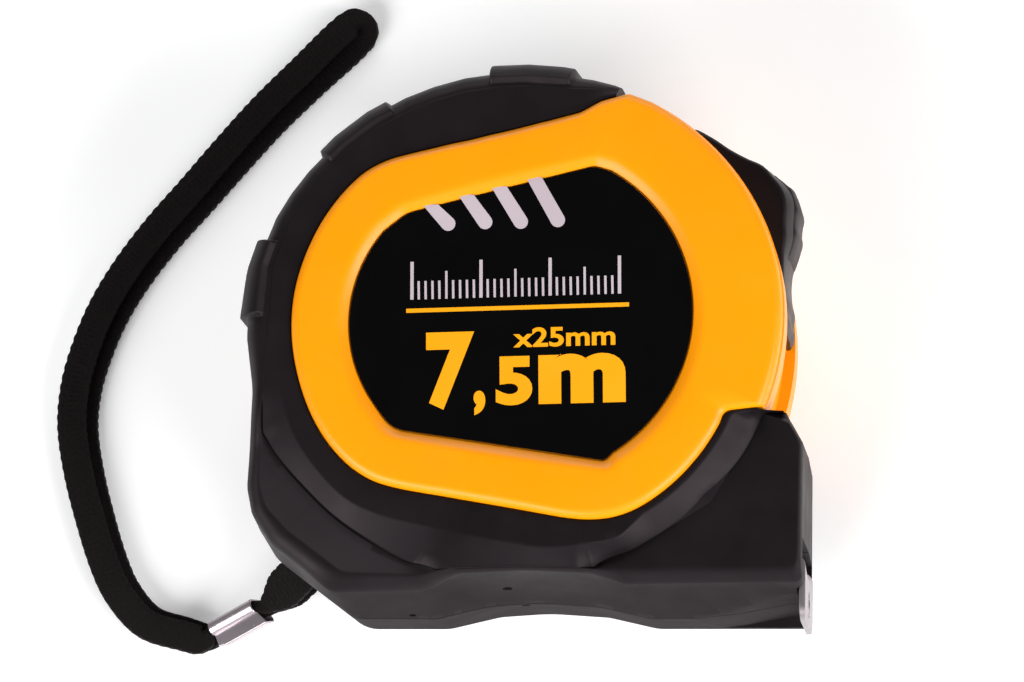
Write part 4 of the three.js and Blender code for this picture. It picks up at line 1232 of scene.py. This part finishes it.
def thumb_lock_pieces():
    columns = [lock_column(-1 + 53 * k / 82, LOCK_SIDE, LOCK_FLOOR, 0.0, 0.5) for k in range(83)]
    body = loft("thumb_lock_body", columns, LOCK, False, 50)
    columns = []
    wide, above = PAD_SIDE + 0.25, 47
    for k in range(41):
        a = PAD_FROM - PAD_ROOM + (PAD_TO - PAD_FROM + 2 * PAD_ROOM) * k / 40
        floor = lock_radius(a, 0) - 1.5
        corners = ((floor, -wide), (floor, wide), (above, wide), (above, -wide))
        columns.append([(*polar(r, a), z) for r, z in corners])
    combine(body, [loft("tool", columns, LOCK, False)])
    shade(body, 35)
    even_normals(body)
    finish_piece(body, "lock", "lock_plastic", "thumb_lock")
    columns = []
    for k in range(41):
        a = PAD_FROM + (PAD_TO - PAD_FROM) * k / 40
        near_end = min(a - PAD_FROM, PAD_TO - a)
        floor = lock_radius(a, 0) - 1.45
        # Three low ridges across the pad keep a thumb from slipping.
        ridge = 0.0
        if RIDGE_FROM < a < RIDGE_TO:
            ridge = 0.16 * max(0.0, math.cos(math.pi * (a - RIDGE_MIDDLE) / (RIDGE_PITCH / 2)))
        sink = -0.35 * max(0.0, 1 - near_end / 0.6) ** 2
        columns.append(lock_column(a, PAD_SIDE, floor, 0.1 + ridge + sink, 0.45))
    pad = loft("thumb_pad_rubber", columns, LOCK_PAD, False, 60)
    finish_piece(pad, "lock", "lock_rubber", "thumb_pad")


thumb_lock_pieces()

# ------------------------------------------------------------------ blade, hook and rivets

ARCH_RADIUS = 31.3                      # of the blade's hollow cross-section
ARCH_CENTRE = -36.6 + ARCH_RADIUS
BLADE_SKIN = 0.075                      # half the blade's drawn thickness
HOOK_THICK = 0.9
HOOK_HALF = 9.0                         # half the hook's width
RIVETS = [(31.8, -4.2), (31.8, 4.2), (35.4, 0.0)]


def arch(z, radius=ARCH_RADIUS):
    """Height of the curved blade, or of a surface beside it, across its width."""
    return ARCH_CENTRE - math.sqrt(radius ** 2 - z ** 2)


def rivet_tools(slide):
    """Holes for the rivets, lengthened where the hook slides on them."""
    tools = []
    for x, z in RIVETS:
        outline = arc((x, z), 1.3, -90, 90, 15) + arc((x - slide, z), 1.3, 90, 270, 15)
        columns = [[(u, y, w) for u, w in outline] for y in (-40.5, -31)]
        tools.append(loft("tool", columns, STEEL, False))
    return tools


def make_blade():
    """The straight end of the tape, with its corners cut off."""
    steps = 48
    columns = []
    for x, trim in ((2, 0), (12, 0), (22, 0), (30, 0), (36.6, 0), (37.6, 0.9), (38.2, 1.9),
                    (38.6, 3.4)):
        half = BLADE_HALF - trim
        zs = [-half + 2 * half * k / steps for k in range(steps + 1)]
        columns.append([(x, arch(z, ARCH_RADIUS - BLADE_SKIN), z) for z in zs]
                       + [(x, arch(z, ARCH_RADIUS + BLADE_SKIN), z) for z in reversed(zs)])
    piece = loft("blade_tape", columns, BLADE_PAINT, False, 40)
    combine(piece, rivet_tools(0))
    shade(piece, 40)
    finish_piece(piece, "blade_end", "blade_paint", "blade")


def blade_numbers():
    """Plain centimetre numbers, read from the hook, printed on the hollow side of the blade."""
    for number in (1, 2, 3):
        points, faces = lettering("number", str(number), 4.4, 0.12, 0.04)
        wide = max(p.x for p in points)
        spots = []
        for p in points:
            x = HOOK_FACE - 10 * number + 0.7 + p.y * 0.9
            z = -wide / 2 + p.x
            spots.append((x, arch(z, ARCH_RADIUS - 0.095) + p.z, z))
        name = f"blade_number_{number}"
        finish_piece(mesh_object(name, spots, faces, PRINT_BLACK, 30), "blade_end", "blade_paint")


def corner_cut(z, half, radius):
    """How far a rounded corner takes a straight end back, at a place across it."""
    beyond = max(0.0, abs(z) - (half - radius))
    return radius - math.sqrt(max(0.0, radius ** 2 - beyond ** 2))


def hook_path(z):
    """The bent plate's middle line at one place across it, as (x, y) points."""
    back = 29.5 + corner_cut(z, HOOK_HALF, 2.8)
    tip = -43.35 + corner_cut(z, HOOK_HALF, 2.0)
    level = arch(z, ARCH_RADIUS - 0.825)
    leg = HOOK_FACE + HOOK_THICK / 2
    bend = 1.15
    line = [(back + (leg - bend - back) * k / 8, level) for k in range(9)]
    line += [(leg - bend + bend * math.sin(a), level - bend * (1 - math.cos(a)))
             for a in (math.pi / 2 * k / 8 for k in range(1, 9))]
    low = level - bend
    line += [(leg, low + (tip - low) * k / 10) for k in range(1, 11)]
    return line


def make_hook():
    """The hook: a bent plate with slotted rivet holes and a nail hole."""
    half = HOOK_HALF
    zs = [-half, -8.95] + [-half + 2 * half * k / 48 for k in range(1, 48)] + [8.95, half]
    columns = []
    for z in zs:
        line = hook_path(z)
        thick = HOOK_THICK / 2 - (0.12 if abs(z) == half else 0.0)
        out, back = [], []
        for i, (x, y) in enumerate(line):
            x0, y0 = line[max(0, i - 1)]
            x1, y1 = line[min(len(line) - 1, i + 1)]
            length = math.hypot(x1 - x0, y1 - y0)
            nx, ny = -(y1 - y0) / length, (x1 - x0) / length
            trim = 0.1 if i in (0, len(line) - 1) else 0.0
            out.append((x + nx * (thick - trim), y + ny * (thick - trim), z))
            back.append((x - nx * (thick - trim), y - ny * (thick - trim), z))
        columns.append(out + back[::-1])
    piece = loft("hook_plate", columns, HOOK_STEEL, False, 35)
    # A nail hole and its slot through the leg.
    outline = arc((0, -39.6), 1.5, -20, 200, 12)
    outline += [(-0.55, -40.9), (-0.55, -42.0), (0.55, -42.0), (0.55, -40.9)]
    nail = loft("tool", [[(x, y, z) for z, y in outline] for x in (38, 41)], STEEL, False)
    combine(piece, rivet_tools(0.8) + [nail])
    shade(piece, 30)
    soften(piece, 0.08, 50)
    finish_piece(piece, "hook", "hook_steel", "end_hook")


def make_rivets():
    for i, (x, z) in enumerate(RIVETS):
        slope = 0.25 + 0.05 * abs(z)
        top = arch(z, ARCH_RADIUS - BLADE_SKIN) + GAP + HOOK_THICK + slope
        bottom = arch(z, ARCH_RADIUS + BLADE_SKIN) - slope
        head = [(1.9, top), (1.86, top + 0.22), (1.6, top + 0.42), (1.1, top + 0.55),
                (0.45, top + 0.6), (0.02, top + 0.6)]
        tail = [(0.02, bottom - 0.18), (0.5, bottom - 0.2), (0.62, bottom - 0.3),
                (1.2, bottom - 0.28), (1.5, bottom - 0.1), (1.6, bottom)]
        profile = tail + [(1.0, bottom), (1.0, top)] + head
        piece = revolve(f"rivet_{i + 1}", (x, 0, z), profile, BRASS, "y", 32)
        finish_piece(piece, "blade_end", "screw_steel", f"hook_rivet_{i + 1}")


make_blade()
blade_numbers()
make_hook()
make_rivets()

# ------------------------------------------------------------------ screws and belt clip


def cross_tools(x, y, face, reach):
    """Two tapered blades that cut a cross recess upwards from a screw's face."""
    tools = []
    for turned in (False, True):
        columns = []
        for z, k in ((face - 0.4, 1.0), (face, 1.0), (face + 1.0, 0.35)):
            long, wide = reach * k, 0.36 * k
            corners = [(-long, -wide), (long, -wide), (long, wide), (-long, wide)]
            columns.append([(x + (v if turned else u), y + (u if turned else v), z)
                            for u, v in corners])
        tools.append(loft("tool", columns, STEEL, False))
    return tools


def screw(name, node, place, face, head, radius, shank, top):
    """A pan-head screw seen from behind: face is the outer side of its head."""
    profile = [(0.02, face), (radius * 0.55, face + 0.02), (radius * 0.82, face + 0.14),
               (radius * 0.96, face + 0.38), (radius, face + 0.62), (radius, face + head),
               (shank, face + head), (shank, top - 0.5), (shank * 0.5, top), (0.02, top)]
    piece = revolve(name, (*place, 0), profile, STEEL, "z", 36)
    combine(piece, cross_tools(*place, face, radius * 0.62))
    shade(piece, 35)
    finish_piece(piece, "case", "screw_steel", node)


for i, place in enumerate(SCREWS):
    screw(f"shell_screw_{i + 1}", f"case_screw_{i + 1}", place, -15.1, 1.6, 2.3, 1.2, 12)
screw("belt_clip_screw", "clip_screw", CLIP_SCREW, -21.8, 1.3, 3.0, 1.5, -15.4)


def end_cut(along, radius):
    """How much narrower a rounded end is on each side, this far from the end."""
    return radius - math.sqrt(max(0.0, radius ** 2 - max(0.0, radius - along) ** 2))


def make_clip():
    """A bent spring strip with rounded corners, held at one end and lipped at the other."""
    half_thick, edge, step = 0.6, 0.22, 0.6
    line = path([(25.0, -19.6), (11.2, -19.6, 2.4), (7.3, -22.39, 2.4), (-14.3, -22.39, 3.0),
                 (-20.0, -19.8, 2.0), (-24.1, -21.3)])
    stations = catmull([Vector((y, z, 0)) for y, z in line], step)
    total = len(stations) - 1
    columns = []
    for i, p in enumerate(stations):
        ahead, behind = stations[min(total, i + 1)], stations[max(0, i - 1)]
        t = (ahead - behind).normalized()
        ny, nz = -t.y, t.x
        along = i * step
        half = 10.0 - end_cut(along, 2.6) - end_cut((total - i) * step, 3.4)
        half -= 1.2 * max(0.0, along - 24) / 12
        low, high = -half_thick, half_thick
        section = [(-half, low + edge), (-half + edge, low), (half - edge, low),
                   (half, low + edge), (half, high - edge), (half - edge, high),
                   (-half + edge, high), (-half, high - edge)]
        columns.append([(u, p.x + ny * v, p.y + nz * v) for u, v in section])
    piece = loft("clip_spring_strip", columns, CLIP_STEEL, False, 35)
    combine(piece, [rod(CLIP_SCREW, 2.1, -22, -18, STEEL)])
    shade(piece, 30)
    finish_piece(piece, "clip", "clip_steel", "belt_clip")


make_clip()

# ------------------------------------------------------------------ parts kept from the CAD

KEPT = {
    "reel": ACETAL, "reel_cover": ACETAL, "lock_arm": ACETAL, "blade_coil": BLADE_PAINT,
    "blade_lead": BLADE_PAINT, "power_spring": SPRING_STEEL, "centre_post": STEEL,
    "strap_pin": STEEL, "brake_pad": LOCK_PAD, "mouth_bumper": RUBBER,
}
for node, material in KEPT.items():
    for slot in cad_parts[node].material_slots:
        slot.material = material

# ------------------------------------------------------------------ stage

FLOOR_REACH, FLOOR_HEIGHT = 3, -0.0002     # metres

floor_mesh = bpy.data.meshes.new("floor")
corners = ((-1, -1), (1, -1), (1, 1), (-1, 1))
floor_mesh.from_pydata([(FLOOR_REACH * x, FLOOR_REACH * y, FLOOR_HEIGHT) for x, y in corners],
                       [], [(0, 1, 2, 3)])
floor = linked("floor", floor_mesh)
paper = Nodes("pale_floor")
paper_color = paper.ramp(paper.noise(8, 2), [(0.3, (0.93, 0.93, 0.93)), (0.7, (0.95, 0.95, 0.95))])
paper.surface(paper_color, Roughness=0.9, Specular_IOR_Level=0.2,
              Emission_Color=(1.0, 1.0, 1.0, 1.0), Emission_Strength=0.2)
floor_mesh.materials.append(paper.material)


def area_light(name, place, size, power):
    """A softbox that faces the tape, placed in metres."""
    data = bpy.data.lights.new(name, "AREA")
    data.shape = "RECTANGLE"
    data.size, data.size_y = size
    data.energy = power
    light = linked(name, data)
    light.location = place
    towards = Vector((0, 0, 0.02)) - Vector(place)
    light.rotation_euler = towards.to_track_quat("-Z", "Y").to_euler()


area_light("left_softbox", (-0.65, -0.78, 0.62), (1.0, 0.7), 16.5)
area_light("right_softbox", (0.88, -0.52, 0.6), (1.0, 0.7), 17.5)
area_light("back_softbox", (-0.1, 1.2, 0.6), (1.4, 0.6), 9)

world = bpy.data.worlds.new("studio")
world.use_nodes = True
background = world.node_tree.nodes["Background"]
background.inputs["Color"].default_value = (0.9, 0.93, 1.0, 1.0)
background.inputs["Strength"].default_value = 0.03
bpy.context.scene.world = world
bpy.context.scene.view_settings.view_transform = "Standard"
